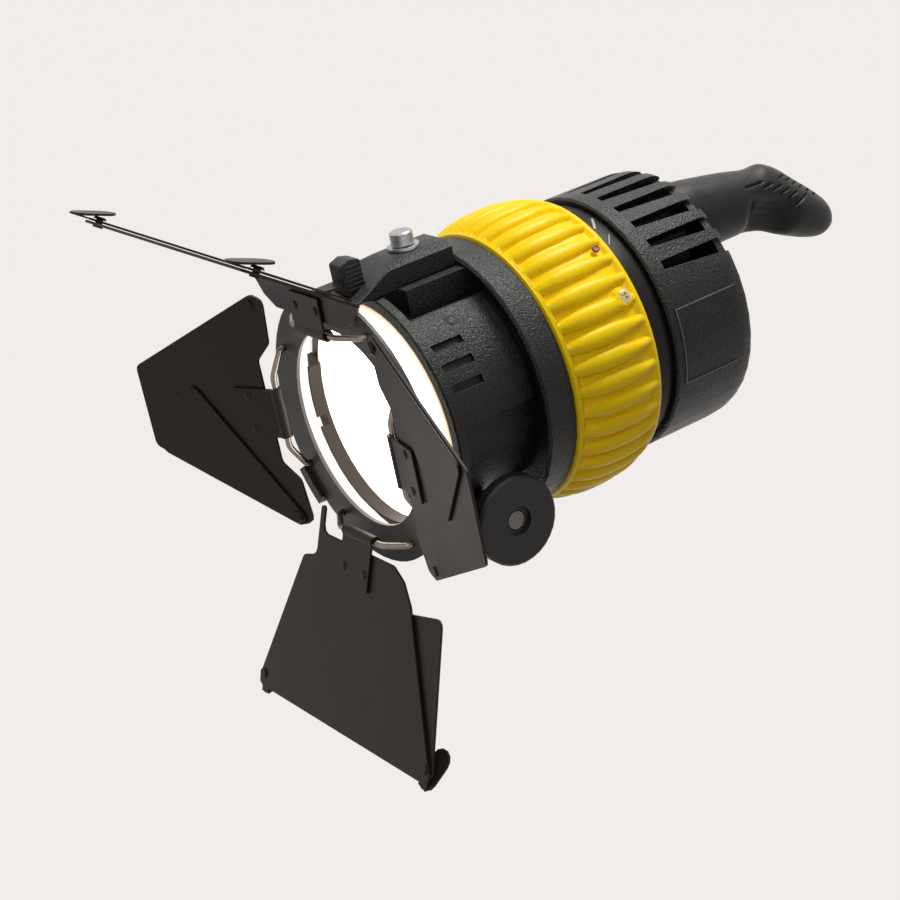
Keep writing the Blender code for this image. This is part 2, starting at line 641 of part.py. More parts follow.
def dome(radius, edge_y, bulge, count=5):
    """(radius, y) points from the rim of a lens face to its middle, bulging by a signed height."""
    shares = [1 - i / count for i in range(count + 1)]
    return [(radius * share, edge_y + bulge * (1 - share ** 2)) for share in shares]


def front_lens():
    profile = [(0, LENS_BACK_Y), (LENS_RADIUS, LENS_BACK_Y)]
    profile += dome(LENS_RADIUS, LENS_BACK_Y - LENS_EDGE, -LENS_BULGE)
    put(lathe("front_lens", profile, closed=False), GLASS, OPTICAL_AXIS, (0, 0, 0), ALONG_Y)


def lens_retainer():
    """The bent sheet that holds the lens on its far and lower side."""
    outer = RIM_RADIUS - 0.0007
    seat = RIM_FRONT_Y - GAP
    face = LENS_BACK_Y - LENS_EDGE - GAP - 0.0003
    back = face - RETAINER_SHEET
    inner = RETAINER_INNER_RADIUS
    wall = inner + RETAINER_SHEET
    profile = [(inner, back - RETAINER_HEIGHT), (wall, back - RETAINER_HEIGHT), (wall, back - 0.0008),
               (outer, back - 0.0008), (outer, seat), (LENS_RADIUS + GAP, seat),
               (LENS_RADIUS + GAP, back + 0.0002), (inner, back + 0.0002)]
    retainer = put(sector("lens_retainer", profile, RETAINER_START, RETAINER_END, 14), SATIN_BLACK,
                   OPTICAL_AXIS)
    notch = block("retainer_notch", (RETAINER_INNER_RADIUS - 0.004, back - RETAINER_HEIGHT - 0.002, -0.002),
                  (RETAINER_INNER_RADIUS + 0.004, back - 0.0014, 0.002))
    cut(retainer, tool(notch, OPTICAL_AXIS, (0, 0, 0), (0, -math.radians(193), 0)))


def spill_shield():
    """The bright band between the lens rim and the accessory ring, open on the near upper side."""
    inner = SHIELD_RADIUS - SHIELD_WALL
    front = RING_THICKNESS + GAP
    back = RIM_FRONT_Y - GAP
    band = [(inner, front), (SHIELD_RADIUS, front), (SHIELD_RADIUS, back), (inner, back)]
    put(sector("spill_shield", band, SHIELD_START, SHIELD_END, 38), ALUMINIUM, OPTICAL_AXIS)


# Accessory arm with its screw and its spring latch
def accessory_arm():
    top = ARM_TOP_Z
    low = ARM_UNDERSIDE_Z
    front_top = low + ARM_FRONT_THICKNESS
    step_y = PEDESTAL_FRONT_Y - GAP
    step_z = PEDESTAL_TOP_Z + GAP
    outline = [(ARM_FRONT_Y, low), (step_y, low), (step_y, step_z), (LIP_FRONT_Y - GAP, step_z),
               (LIP_FRONT_Y - GAP, top), (ARM_SCREW_Y - 0.009, top), (ARM_SCREW_Y - 0.016, top - 0.0027),
               (LATCH_FRONT_Y + 0.0013, front_top), (ARM_FRONT_Y, front_top)]
    arm = put(sheet("accessory_arm", [outline], 2 * ARM_HALF_WIDTH), BLACK_BODY, OPTICAL_AXIS)
    arm.matrix_local = Matrix(((0, 0, 1, 0), (1, 0, 0, 0), (0, 1, 0, 0), (0, 0, 0, 1)))
    bevel = arm.modifiers.new("edges", "BEVEL")
    bevel.width = 0.0006
    bevel.segments = 1
    bevel.limit_method = "ANGLE"
    slope = math.atan2(ARM_CROWN_DROP, ARM_HALF_WIDTH - ARM_CROWN_HALF_WIDTH)
    reach = LIP_FRONT_Y - ARM_FRONT_Y
    for side, turn in ((1, 0), (-1, math.pi)):
        crown = block(f"arm_crown_{side + 1}", (-0.004, -reach, 0), (0.012, reach, 0.01))
        cut(arm, tool(crown, OPTICAL_AXIS, (side * ARM_CROWN_HALF_WIDTH, ARM_SCREW_Y, top),
                      (0, slope, turn)))
    pocket_floor = LATCH_BASE_Z - GAP
    cut(arm, tool(block("latch_pocket", (-LATCH_HALF_WIDTH - FIT, LATCH_FRONT_Y - FIT, pocket_floor),
                        (LATCH_HALF_WIDTH + FIT, LATCH_REAR_Y + FIT, top + 0.01)), OPTICAL_AXIS))
    cut(arm, tool(rod("post_hole", LATCH_POST_RADIUS + GAP, 0.01), OPTICAL_AXIS,
                  (0, (LATCH_FRONT_Y + LATCH_REAR_Y) / 2, low - 0.004)))
    cut(arm, tool(rod("arm_hole", ARM_SCREW_RADIUS + GAP, 0.02), OPTICAL_AXIS,
                  (0, ARM_SCREW_Y, low - 0.004)))


def arm_screw():
    washer_z = ARM_TOP_Z + GAP
    hole = ARM_SCREW_RADIUS + GAP
    washer = [(ARM_WASHER_RADIUS, ARM_WASHER_THICKNESS), (ARM_WASHER_RADIUS, 0), (hole, 0),
              (hole, ARM_WASHER_THICKNESS)]
    put(lathe("arm_washer", washer, 28), STEEL, OPTICAL_AXIS, (0, ARM_SCREW_Y, washer_z))
    head_z = washer_z + ARM_WASHER_THICKNESS + GAP
    tip_z = TUBE_RADIUS - 0.001
    head = head_z + ARM_SCREW_HEAD_HEIGHT - tip_z
    seat = head_z - tip_z
    profile = [(0, head), (ARM_SCREW_HEAD_RADIUS - 0.0005, head), (ARM_SCREW_HEAD_RADIUS, head - 0.0005),
               (ARM_SCREW_HEAD_RADIUS, seat), (ARM_SCREW_RADIUS, seat), (ARM_SCREW_RADIUS, 0), (0, 0)]
    put(lathe("arm_screw", profile, 24, closed=False), STEEL, OPTICAL_AXIS, (0, ARM_SCREW_Y, tip_z))


def latch():
    """The knob that hooks over the ring's edge, its post and its spring."""
    middle = (LATCH_FRONT_Y + LATCH_REAR_Y) / 2
    depth = LATCH_REAR_Y - LATCH_FRONT_Y
    top = LATCH_BASE_Z + LATCH_HEIGHT
    corners = [(LATCH_FRONT_Y, LATCH_BASE_Z), (LATCH_REAR_Y, LATCH_BASE_Z), (LATCH_REAR_Y, top - 0.001),
               (LATCH_REAR_Y - depth / 2, top), (LATCH_FRONT_Y, top - 0.0015)]
    outline = rounded(corners, 0.0006, 1)
    knob = put(sheet("latch_knob", [outline], 2 * LATCH_HALF_WIDTH), BLACK_BODY, OPTICAL_AXIS)
    knob.matrix_local = Matrix(((0, 0, 1, 0), (1, 0, 0, 0), (0, 1, 0, 0), (0, 0, 0, 1)))
    hook_y = -GAP - LATCH_HOOK_THICKNESS
    hook_low = RING_RADIUS - LATCH_HOOK_OVERLAP
    bar_low = RING_RADIUS + GAP + 0.0002
    half = LATCH_HOOK_HALF_WIDTH
    bar = tool(block("latch_bar", (-half, hook_y, bar_low),
                     (half, LATCH_FRONT_Y + 0.001, bar_low + LATCH_HOOK_THICKNESS)), OPTICAL_AXIS)
    tooth = tool(block("latch_tooth", (-half, hook_y, hook_low),
                       (half, -GAP, bar_low + LATCH_HOOK_THICKNESS / 2)), OPTICAL_AXIS)
    join(bar, tooth)
    join(knob, bar)
    floor_z = LATCH_BASE_Z + LATCH_FLOOR
    post_hole = rod("post_clearance", LATCH_POST_RADIUS + GAP, LATCH_FLOOR + 0.002, 16)
    cut(knob, tool(post_hole, OPTICAL_AXIS, (0, middle, LATCH_BASE_Z - 0.001)))
    spring_bore = rod("spring_bore", LATCH_BORE_RADIUS, LATCH_HEIGHT - LATCH_FLOOR - 0.0014, 20)
    cut(knob, tool(spring_bore, OPTICAL_AXIS, (0, middle, floor_z)))
    head_top = top - 0.0018
    head_low = head_top - 0.0014
    foot = ARM_UNDERSIDE_Z
    head = LATCH_POST_HEAD_RADIUS
    profile = [(0, head_top - foot), (head, head_top - foot), (head, head_low - foot),
               (LATCH_POST_RADIUS, head_low - foot), (LATCH_POST_RADIUS, 0), (0, 0)]
    put(lathe("latch_post", profile, 16, closed=False), STEEL, OPTICAL_AXIS, (0, middle, foot))
    coil_radius = LATCH_POST_RADIUS + 0.0007
    spring_low = floor_z + LATCH_TRAVEL + 0.0005
    spring_high = head_low - GAP - 0.0003
    turns = 3
    count = turns * 10
    points = []
    for i in range(count + 1):
        angle = 2 * math.pi * turns * i / count
        height = spring_low + (spring_high - spring_low) * i / count
        points.append((coil_radius * math.cos(angle), coil_radius * math.sin(angle), height - spring_low))
    put(wire("latch_spring", points, 0.00025, resolution=1), STEEL, OPTICAL_AXIS, (0, middle, spring_low))


# Focus ring, its screw, and the lens carriage that it drives
def focus_profile_radius(y):
    """The turned shape of the focus ring without its ribs."""
    along = (y - FOCUS_FRONT_Y) / FOCUS_LENGTH
    swell = 1 - abs(2 * along - 1.06) ** 2.6
    return FOCUS_EDGE_RADIUS + (FOCUS_CROWN_RADIUS - FOCUS_EDGE_RADIUS) * max(0.0, swell)


def focus_ring():
    bore = SLEEVE_RADIUS + FIT
    rows = (0.0, 0.10, 0.2, 0.45, 0.70, 0.84, 1.0)
    back = FOCUS_FRONT_Y + FOCUS_LENGTH
    outer = []
    for share in reversed(rows):
        y = FOCUS_FRONT_Y + FOCUS_LENGTH * share
        outer.append((focus_profile_radius(y), y))
    profile = [*outer, (bore, FOCUS_FRONT_Y), (bore, back)]
    blank = lathe("focus_ring", profile, steps=3 * FOCUS_RIBS)
    ring = meshed(blank)
    for vertex in ring.data.vertices:
        radius = math.hypot(vertex.co.x, vertex.co.y)
        share = (vertex.co.z - FOCUS_FRONT_Y) / FOCUS_LENGTH
        if radius > FOCUS_EDGE_RADIUS - 0.001 and 0.15 < share < 0.8:
            azimuth = math.atan2(vertex.co.y, vertex.co.x)
            depth = FOCUS_RIB_HEIGHT * (0.5 - 0.5 * math.cos(FOCUS_RIBS * azimuth))
            scale = (radius - depth) / radius
            vertex.co.x *= scale
            vertex.co.y *= scale
    put(ring, YELLOW, OPTICAL_AXIS, (0, 0, 0), ALONG_Y)
    pin_y = CARRIAGE_FRONT_Y + CARRIAGE_LENGTH / 2
    groove_radius = DRIVE_PIN_RADIUS + CAM_CLEARANCE
    middle = SLEEVE_RADIUS + DRIVE_PIN_REACH / 2
    past_end = 2 * groove_radius / (FOCUS_TURN * middle)
    for side in (0, 1):
        points = []
        for i in range(CAM_STEPS + 1):
            share = (1 + 2 * past_end) * i / CAM_STEPS - past_end
            azimuth = math.pi * side + FOCUS_TURN * share
            points.append(around(azimuth, middle, pin_y - CARRIAGE_TRAVEL * share))
        cut(ring, tool(wire(f"cam_groove_{side}", points, groove_radius, resolution=1), OPTICAL_AXIS))
    seat = focus_profile_radius(FOCUS_SCREW_Y) - 0.002
    place = Vector(around(FOCUS_SCREW_ANGLE, seat, FOCUS_SCREW_Y))
    turn = (0, math.pi / 2 - FOCUS_SCREW_ANGLE, 0)
    cut(ring, tool(rod("focus_screw_hole", FOCUS_SCREW_RADIUS + GAP, 0.006, 16), OPTICAL_AXIS, place, turn))
    start = place + Vector(around(FOCUS_SCREW_ANGLE, GAP, 0))
    put(rod("focus_ring_screw", FOCUS_SCREW_RADIUS, 0.0016, 16), STEEL, OPTICAL_AXIS, start, turn)


def lens_carriage():
    outer = SLEEVE_BORE - FIT
    inner = outer - CARRIAGE_WALL
    length = CARRIAGE_LENGTH
    profile = [(outer, length), (outer, 0), (inner - CARRIAGE_SILL, 0), (inner - CARRIAGE_SILL, 0.002),
               (inner, 0.002), (inner, length)]
    carriage = put(lathe("lens_carriage", profile), ALUMINIUM, OPTICAL_AXIS,
                   (0, CARRIAGE_FRONT_Y, 0), ALONG_Y)
    pin_y = CARRIAGE_FRONT_Y + length / 2
    for side, name in ((0, "near"), (1, "far")):
        spin = (0, math.pi / 2 + math.pi * side, 0)
        start = around(math.pi * side, outer - 0.004, pin_y)
        hole = rod(f"pin_hole_{name}", DRIVE_PIN_RADIUS + GAP, 0.008, 16)
        cut(carriage, tool(hole, OPTICAL_AXIS, start, spin))
        foot = around(math.pi * side, outer - 0.004 + GAP, pin_y)
        reach = SLEEVE_RADIUS + DRIVE_PIN_REACH - outer + 0.004 - GAP
        put(rod(f"drive_pin_{name}", DRIVE_PIN_RADIUS, reach, 12), STEEL, OPTICAL_AXIS, foot, spin)
    radius = inner - GAP
    front = CARRIAGE_FRONT_Y + 0.002 + GAP
    back = front + INNER_LENS_EDGE
    faces = list(reversed(dome(radius, back, INNER_LENS_BULGE, 4))) + [(radius, front), (0, front)]
    put(lathe("inner_lens", faces, closed=False), GLASS, OPTICAL_AXIS, (0, 0, 0), ALONG_Y)


# Neck collar, rear housing, heat sink and light source
def neck_collar():
    inner = SLEEVE_RADIUS + GAP
    profile = [(NECK_RADIUS - 0.0012, NECK_LENGTH), (NECK_RADIUS, NECK_LENGTH / 2),
               (NECK_RADIUS - 0.0006, 0), (inner, 0), (inner, NECK_LENGTH)]
    put(lathe("neck_collar", profile), BLACK_BODY, OPTICAL_AXIS, (0, NECK_FRONT_Y, 0), ALONG_Y)


def rear_housing():
    straight = REAR_BACK_Y - REAR_ROUNDING
    corner = []
    for i in range(4):
        angle = math.pi / 2 * (1 - i / 4)
        corner.append((REAR_BORE + 0.0007 + (REAR_WALL - 0.0007) * math.cos(angle),
                       straight + REAR_ROUNDING * math.sin(angle)))
    inner_wall = REAR_FRONT_Y + REAR_FRONT_WALL
    profile = [*corner, (REAR_RADIUS, straight), (REAR_RADIUS, REAR_FRONT_Y + 0.0008),
               (REAR_RADIUS - 0.0008, REAR_FRONT_Y), (SLEEVE_BORE, REAR_FRONT_Y),
               (SLEEVE_BORE, inner_wall), (REAR_BORE, inner_wall), (REAR_BORE, REAR_BACK_Y)]
    housing = put(lathe("rear_housing", profile), BLACK_BODY, OPTICAL_AXIS, (0, 0, 0), ALONG_Y)
    front = REAR_FRONT_Y + SLOT_FRONT_OFFSET
    back = REAR_BACK_Y + 0.004
    half = SLOT_FRONT_WIDTH / 2
    widening = SLOT_REAR_WIDTH - SLOT_FRONT_WIDTH
    for i in range(SLOT_COUNT):
        from_top = i - (SLOT_COUNT - 1) / 2
        azimuth = math.pi / 2 + from_top * SLOT_PITCH
        share = 0.5 + 0.5 * max(-1.0, min(1.0, from_top))
        outline = [(front, -half), (back, -half - widening * (1 - share)),
                   (back, half + widening * share), (front, half)]
        slot = tool(sheet(f"slot_{i}", [outline], 0.008), OPTICAL_AXIS)
        radial = Vector(around(azimuth, 1, 0))
        along = Vector((0, 1, 0))
        place = Matrix((along, radial.cross(along), radial)).transposed().to_4x4()
        place.translation = radial * (REAR_RADIUS - REAR_WALL / 2)
        slot.matrix_local = place
        cut(housing, slot)


def heat_sink():
    radius = REAR_BORE - GAP
    spigot = SLEEVE_BORE - GAP
    profile = [(0, SINK_BASE_Y + SINK_BASE), (radius, SINK_BASE_Y + SINK_BASE), (radius, SINK_BASE_Y),
               (spigot, SINK_BASE_Y), (spigot, SINK_FRONT_Y), (0, SINK_FRONT_Y)]
    sink = put(lathe("heat_sink", profile, closed=False), ALUMINIUM, OPTICAL_AXIS, (0, 0, 0), ALONG_Y)
    pitch = 2 * radius / (FIN_COUNT + 1)
    root = SINK_BASE_Y + SINK_BASE - 0.001
    for i in range(FIN_COUNT):
        x = (i - (FIN_COUNT - 1) / 2) * pitch
        reach = math.sqrt(radius ** 2 - (abs(x) + FIN_THICKNESS / 2) ** 2) - 0.0005
        join(sink, tool(block(f"fin_{i}", (x - FIN_THICKNESS / 2, root, -reach),
                              (x + FIN_THICKNESS / 2, root + 0.001 + FIN_LENGTH, reach)), OPTICAL_AXIS))


def light_source():
    put(rod("led_board", BOARD_RADIUS, BOARD_THICKNESS, 32), BOARD_WHITE, OPTICAL_AXIS,
        (0, BOARD_FRONT_Y, 0), ALONG_Y)
    back = BOARD_FRONT_Y - GAP
    profile = [(0, back), (EMITTER_RADIUS, back), (EMITTER_RADIUS, back - EMITTER_HEIGHT / 2),
               (EMITTER_RADIUS - 0.002, back - EMITTER_HEIGHT), (0, back - EMITTER_HEIGHT)]
    put(lathe("led_emitter", profile, 24, closed=False), PHOSPHOR, OPTICAL_AXIS, (0, 0, 0), ALONG_Y)


# Rear cover with the handle and the power inlet
def rear_cover():
    radius = REAR_BORE - GAP
    cover = put(rod("rear_cover", radius, COVER_THICKNESS, STEPS), BLACK_BODY, OPTICAL_AXIS,
                (0, COVER_FRONT_Y, 0), ALONG_Y)
    through = COVER_THICKNESS + 0.004
    for name, z in handle_screw_heights():
        hole = rod(f"{name}_hole", HANDLE_SCREW_RADIUS + GAP, through, 16)
        cut(cover, tool(hole, OPTICAL_AXIS, (0, COVER_FRONT_Y - 0.002, z), ALONG_Y))
    inlet_hole = rod("inlet_hole", INLET_BARREL_RADIUS + GAP, through, 24)
    cut(cover, tool(inlet_hole, OPTICAL_AXIS, (0, COVER_FRONT_Y - 0.002, INLET_Z), ALONG_Y))


def handle_screw_heights():
    return [("handle_screw_upper", HANDLE_ROOT_Z + HANDLE_SCREW_SPACING / 2),
            ("handle_screw_lower", HANDLE_ROOT_Z - HANDLE_SCREW_SPACING / 2)]


def handle():
    """The rear grip: an oval bar that leaves the cover straight and bends down to a bulb end."""
    root_y = COVER_BACK_Y + GAP
    run = smooth(HANDLE_CURVE, 2)
    points = [(0, HANDLE_LENGTH * back, -HANDLE_DROP * drop) for back, drop, scale in run]
    scales = [scale for back, drop, scale in run]
    grip = wire("handle", points, HANDLE_ROOT_HALF_HEIGHT, scales, resolution=3)
    squeeze = HANDLE_ROOT_HALF_WIDTH / HANDLE_ROOT_HALF_HEIGHT
    grip.data.transform(Matrix.Diagonal((squeeze, 1, 1, 1)))
    put(grip, GRIP_BLACK, OPTICAL_AXIS, (0, root_y, HANDLE_ROOT_Z))
    head = HANDLE_SCREW_HEAD_HEIGHT
    head_y = COVER_FRONT_Y - GAP - head
    length = root_y + HANDLE_SCREW_DEPTH - head_y
    profile = [(0, length), (HANDLE_SCREW_RADIUS, length), (HANDLE_SCREW_RADIUS, head),
               (HANDLE_SCREW_HEAD_RADIUS, head), (HANDLE_SCREW_HEAD_RADIUS, 0), (0, 0)]
    for name, z in handle_screw_heights():
        bore = rod(f"{name}_bore", HANDLE_SCREW_RADIUS + GAP, HANDLE_SCREW_DEPTH + 0.002, 16)
        cut(grip, tool(bore, OPTICAL_AXIS, (0, root_y - 0.001, z), ALONG_Y))
        put(lathe(name, profile, 16, closed=False), STEEL, OPTICAL_AXIS, (0, head_y, z), ALONG_Y)


def power_inlet():
    foot = -COVER_THICKNESS - 0.002
    profile = [(INLET_BORE_RADIUS, INLET_LENGTH), (INLET_BARREL_RADIUS, INLET_LENGTH),
               (INLET_BARREL_RADIUS, INLET_FLANGE_THICKNESS), (INLET_FLANGE_RADIUS, INLET_FLANGE_THICKNESS),
               (INLET_FLANGE_RADIUS, 0), (INLET_BARREL_RADIUS, 0), (INLET_BARREL_RADIUS, foot), (0, foot),
               (0, INLET_FLOOR), (INLET_BORE_RADIUS, INLET_FLOOR)]
    put(lathe("power_inlet", profile, 28), STEEL, OPTICAL_AXIS, (0, COVER_BACK_Y + GAP, INLET_Z), ALONG_Y)


# Barndoor ring with its hinge wires, leaves and flaps
LEAF_SIDES = {"top": math.pi / 2, "left": math.pi, "bottom": -math.pi / 2, "right": 0.0}


def hinge_frame(side):
    """The hinge's own axes at the ring: along the wire, outwards, and towards the light's exit."""
    outward = Vector(around(LEAF_SIDES[side], 1, 0))
    forward = Vector((0, -1, 0))
    along = outward.cross(forward)
    return along, outward, forward


def wire_foot(side, sign):
    along, outward = hinge_frame(side)[:2]
    lift = math.sqrt(WIRE_FOOT_RADIUS ** 2 - WIRE_FOOT_SPREAD ** 2)
    return along * sign * WIRE_FOOT_SPREAD + outward * lift


def barndoor_ring():
    profile = [(RING_RADIUS, RING_THICKNESS), (RING_RADIUS, 0), (RING_BORE_RADIUS, 0),
               (RING_BORE_RADIUS, RING_THICKNESS)]
    ring = put(lathe("barndoor_ring", profile, 56), SATIN_BLACK, OPTICAL_AXIS, (0, 0, 0), ALONG_Y)
    for side in LEAF_SIDES:
        for sign in (-1, 1):
            place = wire_foot(side, sign) + Vector((0, -0.002, 0))
            cut(ring, tool(rod(f"foot_hole_{side}_{sign + 1}", WIRE_RADIUS + GAP, 0.006, 12), OPTICAL_AXIS,
                           place, ALONG_Y))


def hinge_wire(side):
    along, outward, forward = hinge_frame(side)
    middle = outward * HINGE_RADIUS + Vector((0, HINGE_Y, 0))
    half = [middle + along * WIRE_HALF_LENGTH,
            middle + along * (WIRE_HALF_LENGTH + 0.0022) - forward * 0.001]
    foot = wire_foot(side, 1)
    half.append(foot + forward * 0.0022 - along * 0.0008)
    half.append(foot + forward * 0.0005)
    half.append(foot - forward * RING_THICKNESS)
    other = []
    for point in half:
        other.append(point - along * 2 * point.dot(along))
    put(wire(f"hinge_wire_{side}", [*reversed(other), *half], WIRE_RADIUS), STEEL, OPTICAL_AXIS)


def flared_half(side, sign):
    """Corners of one side of a leaf that widens outwards, from the hinge to the outer corner."""
    if (side, sign) in STEPPED_NECKS:
        neck = [(STEP_NECK_INNER, FLARED_NECK_V), (STEP_NECK_INNER, STEP_NECK_HINGE_V),
                (STEP_NECK_HALF, STEP_NECK_HINGE_V), (STEP_NECK_HALF, STEP_NECK_V)]
    else:
        neck = [(FLARED_NECK_HALF, FLARED_NECK_V),
                (FLARED_SHOULDER_HALF - 0.006, FLARED_SHOULDER_V - 0.0075)]
    return neck + [(FLARED_SHOULDER_HALF, FLARED_SHOULDER_V), (FLARED_OUTER_HALF, FLARED_LENGTH)]


def tapered_half(side, sign):
    """Corners of one side of a leaf that narrows outwards, from its notch to the outer corner."""
    cut_back = EAR_CUT.get((side, sign), 0.0)
    ear_half = TAPERED_INNER_HALF - cut_back * TAPERED_SLOPE
    return [(TAPERED_NOTCH_HALF, TAPERED_NOTCH_V),
            (TAPERED_NOTCH_HALF + 0.007, TAPERED_EAR_V + 0.0017 + cut_back / 2),
            (ear_half - 0.0015, TAPERED_EAR_V + cut_back), (ear_half, TAPERED_INNER_V + cut_back),
            (TAPERED_OUTER_HALF, TAPERED_LENGTH)]


STEPPED_NECKS = {("bottom", 1)}
FLARED = {"half": flared_half,
          "pivot": (FLARED_OUTER_HALF - PIVOT_INSET, FLARED_LENGTH - PIVOT_INSET - 0.0008),
          "edge": (FLARED_SHOULDER_HALF - FLARED_OUTER_HALF, FLARED_SHOULDER_V - FLARED_LENGTH),
          "length": FLARED_FLAP_LENGTH, "slant": FLARED_FLAP_END_SLANT, "faces": {1: -1, -1: -1},
          "tab": True}
TAPERED = {"half": tapered_half,
           "pivot": (TAPERED_INNER_HALF - PIVOT_INSET + 0.0006, TAPERED_INNER_V + 0.0005),
           "edge": (TAPERED_OUTER_HALF - TAPERED_INNER_HALF, TAPERED_LENGTH - TAPERED_INNER_V),
           "length": TAPERED_FLAP_LENGTH, "slant": 0.0, "faces": {1: -1, -1: 1}, "tab": False}
LEAF_KINDS = {"top": FLARED, "bottom": FLARED, "left": TAPERED, "right": TAPERED}
REST_SWING = {("bottom", -1): SWUNG_FLAP}
SIDE_NAMES = {1: "a", -1: "b"}


def leaf_outline(side):
    half = LEAF_KINDS[side]["half"]
    other = [(-u, v) for u, v in reversed(half(side, -1))]
    return rounded(half(side, 1) + other, LEAF_CORNER_RADIUS, 2)


def pivot_point(side, sign):
    """Where the flap's rivet stands in the leaf's own plane."""
    kind = LEAF_KINDS[side]
    cut_back = EAR_CUT.get((side, sign), 0.0)
    return (sign * (kind["pivot"][0] - cut_back * TAPERED_SLOPE), kind["pivot"][1] + cut_back, 0)


def leaf_matrix(side):
    """Own X along the hinge, own Y out along the leaf, own Z towards the beam."""
    along, outward, forward = hinge_frame(side)
    opening = math.radians(OPENING[side])
    down_leaf = forward * math.cos(opening) + outward * math.sin(opening)
    beam = along.cross(down_leaf)
    place = Matrix((along, down_leaf, beam)).transposed().to_4x4()
    place.translation = outward * HINGE_RADIUS + Vector((0, HINGE_Y, 0))
    return place


def wing_matrix(side):
    """The place of the leaf's outer part, past its fixed bend, in the leaf's own axes."""
    hinge_to_bend = Matrix.Translation((0, LEAF_BEND_V, 0))
    return hinge_to_bend @ Matrix.Rotation(LEAF_BEND[side], 4, "X") @ hinge_to_bend.inverted()


def bent(blade, side):
    """The flat sheet folded towards the beam at its bend line."""
    shape = bmesh.new()
    shape.from_mesh(blade.data)
    bmesh.ops.bisect_plane(shape, geom=[*shape.verts, *shape.edges, *shape.faces], dist=0.00001,
                           plane_co=(0, LEAF_BEND_V, 0), plane_no=(0, 1, 0))
    fold = wing_matrix(side)
    for vertex in shape.verts:
        past = vertex.co.y - LEAF_BEND_V
        if abs(past) < 0.00002:
            vertex.co.y -= vertex.co.z * math.tan(LEAF_BEND[side] / 2)
        elif past > 0:
            vertex.co = fold @ vertex.co
    shape.to_mesh(blade.data)
    shape.free()
    return blade


def leaf(side):
    kind = LEAF_KINDS[side]
    blade = sheet(f"leaf_{side}", [leaf_outline(side)], LEAF_THICKNESS)
    if LEAF_BEND[side]:
        blade = bent(blade, side)
    put(blade, SATIN_BLACK, OPTICAL_AXIS)
    blade.matrix_local = leaf_matrix(side)
    for sign, face in kind["faces"].items():
        pivot = wing_matrix(side) @ Matrix.Translation(pivot_point(side, sign))
        join(blade, pivot_rivet(blade, side, sign, face, pivot))
        flap(blade, side, sign, face, pivot, kind)
    clip(side)


def pivot_rivet(blade, side, sign, face, pivot):
    """The rivet set in the leaf, with its head over the flap and its tail on the other face."""
    stem = FLAP_LIFT + FLAP_THICKNESS / 2 + GAP
    tail_radius = RIVET_HEAD_RADIUS - RIVET_EDGE
    sunk = LEAF_THICKNESS / 2 - RIVET_SINK
    crown = stem + RIVET_HEAD_HEIGHT
    tail = -LEAF_THICKNESS / 2 - RIVET_TAIL
    profile = [(0, crown), (tail_radius, crown), (RIVET_HEAD_RADIUS, stem), (RIVET_RADIUS, stem),
               (RIVET_RADIUS, -sunk), (tail_radius, -sunk), (tail_radius, tail), (0, tail)]
    rivet = tool(lathe(f"rivet_{side}_{SIDE_NAMES[sign]}", profile, 14, closed=False), blade)
    rivet.matrix_local = pivot @ Matrix.Rotation(0 if face > 0 else math.pi, 4, "X")
    return rivet


def flap(blade, side, sign, face, pivot, kind):
    """A wing that swings about the corner rivet in the leaf's own plane."""
    start = math.atan2(kind["edge"][1], sign * kind["edge"][0])
    turn = sign if kind["edge"][1] > 0 else -sign
    end = start + turn * FLAP_SPREAD
    swing = -turn * REST_SWING.get((side, sign), 0.0)
    offset = FLAP_EDGE_OFFSET
    length = kind["length"] - EAR_CUT.get((side, sign), 0.0)
    edges = []
    for angle, reach, out in ((start, length, -turn), (end, length + kind["slant"], turn)):
        along = Vector((math.cos(angle), math.sin(angle)))
        across = Vector((-along.y, along.x)) * out * offset
        edges.append((along * reach + across, across - along * offset))
    corners = [edges[0][0], edges[1][0], edges[1][1], edges[0][1]]
    outline = rounded([tuple(corner) for corner in corners], offset)
    name = f"flap_{side}_{SIDE_NAMES[sign]}"
    wing = put(sheet(name, [outline], FLAP_THICKNESS), SATIN_BLACK, blade)
    lift = Matrix.Translation((0, 0, face * FLAP_LIFT))
    wing.matrix_local = pivot @ lift @ Matrix.Rotation(swing, 4, "Z")
    if kind["tab"]:
        reach = TAB_SHIFT[side] + TAB_HALF_LENGTH * math.cos(TAB_TILT[side])
        tongue = block(f"{name}_tongue", (-TAB_TONGUE_HALF_WIDTH, -0.001, 0.0001 - FLAP_THICKNESS / 2),
                       (TAB_TONGUE_HALF_WIDTH, reach - 0.0004, FLAP_THICKNESS / 2 - 0.0001))
        join(wing, tool(tongue, wing))
    thick = 2 * FLAP_THICKNESS
    cut(wing, tool(rod(f"{name}_hole", RIVET_RADIUS + FIT, thick, 12), wing, (0, 0, -thick / 2)))
    if kind["tab"]:
        join(wing, finger_tab(wing, name, side, face))


def finger_tab(wing, name, side, face):
    """The oval ear folded back over the rivet, touching the flap's tongue at its outer end only."""
    long_half = TAB_HALF_LENGTH - TAB_HALF_WIDTH
    outline = arc((long_half, 0), TAB_HALF_WIDTH, -math.pi / 2, math.pi / 2, 6)
    outline += arc((-long_half, 0), TAB_HALF_WIDTH, math.pi / 2, 3 * math.pi / 2, 6)
    ear = tool(sheet(f"{name}_tab", [outline], FLAP_THICKNESS), wing)
    tilt = TAB_TILT[side]
    lifted = Vector((0, -math.cos(tilt), face * math.sin(tilt)))
    across = Vector((1, 0, 0))
    place = Matrix((lifted, across, lifted.cross(across))).transposed().to_4x4()
    place.translation = (0, TAB_SHIFT[side], face * TAB_HALF_LENGTH * math.sin(tilt))
    ear.matrix_local = place
    return ear


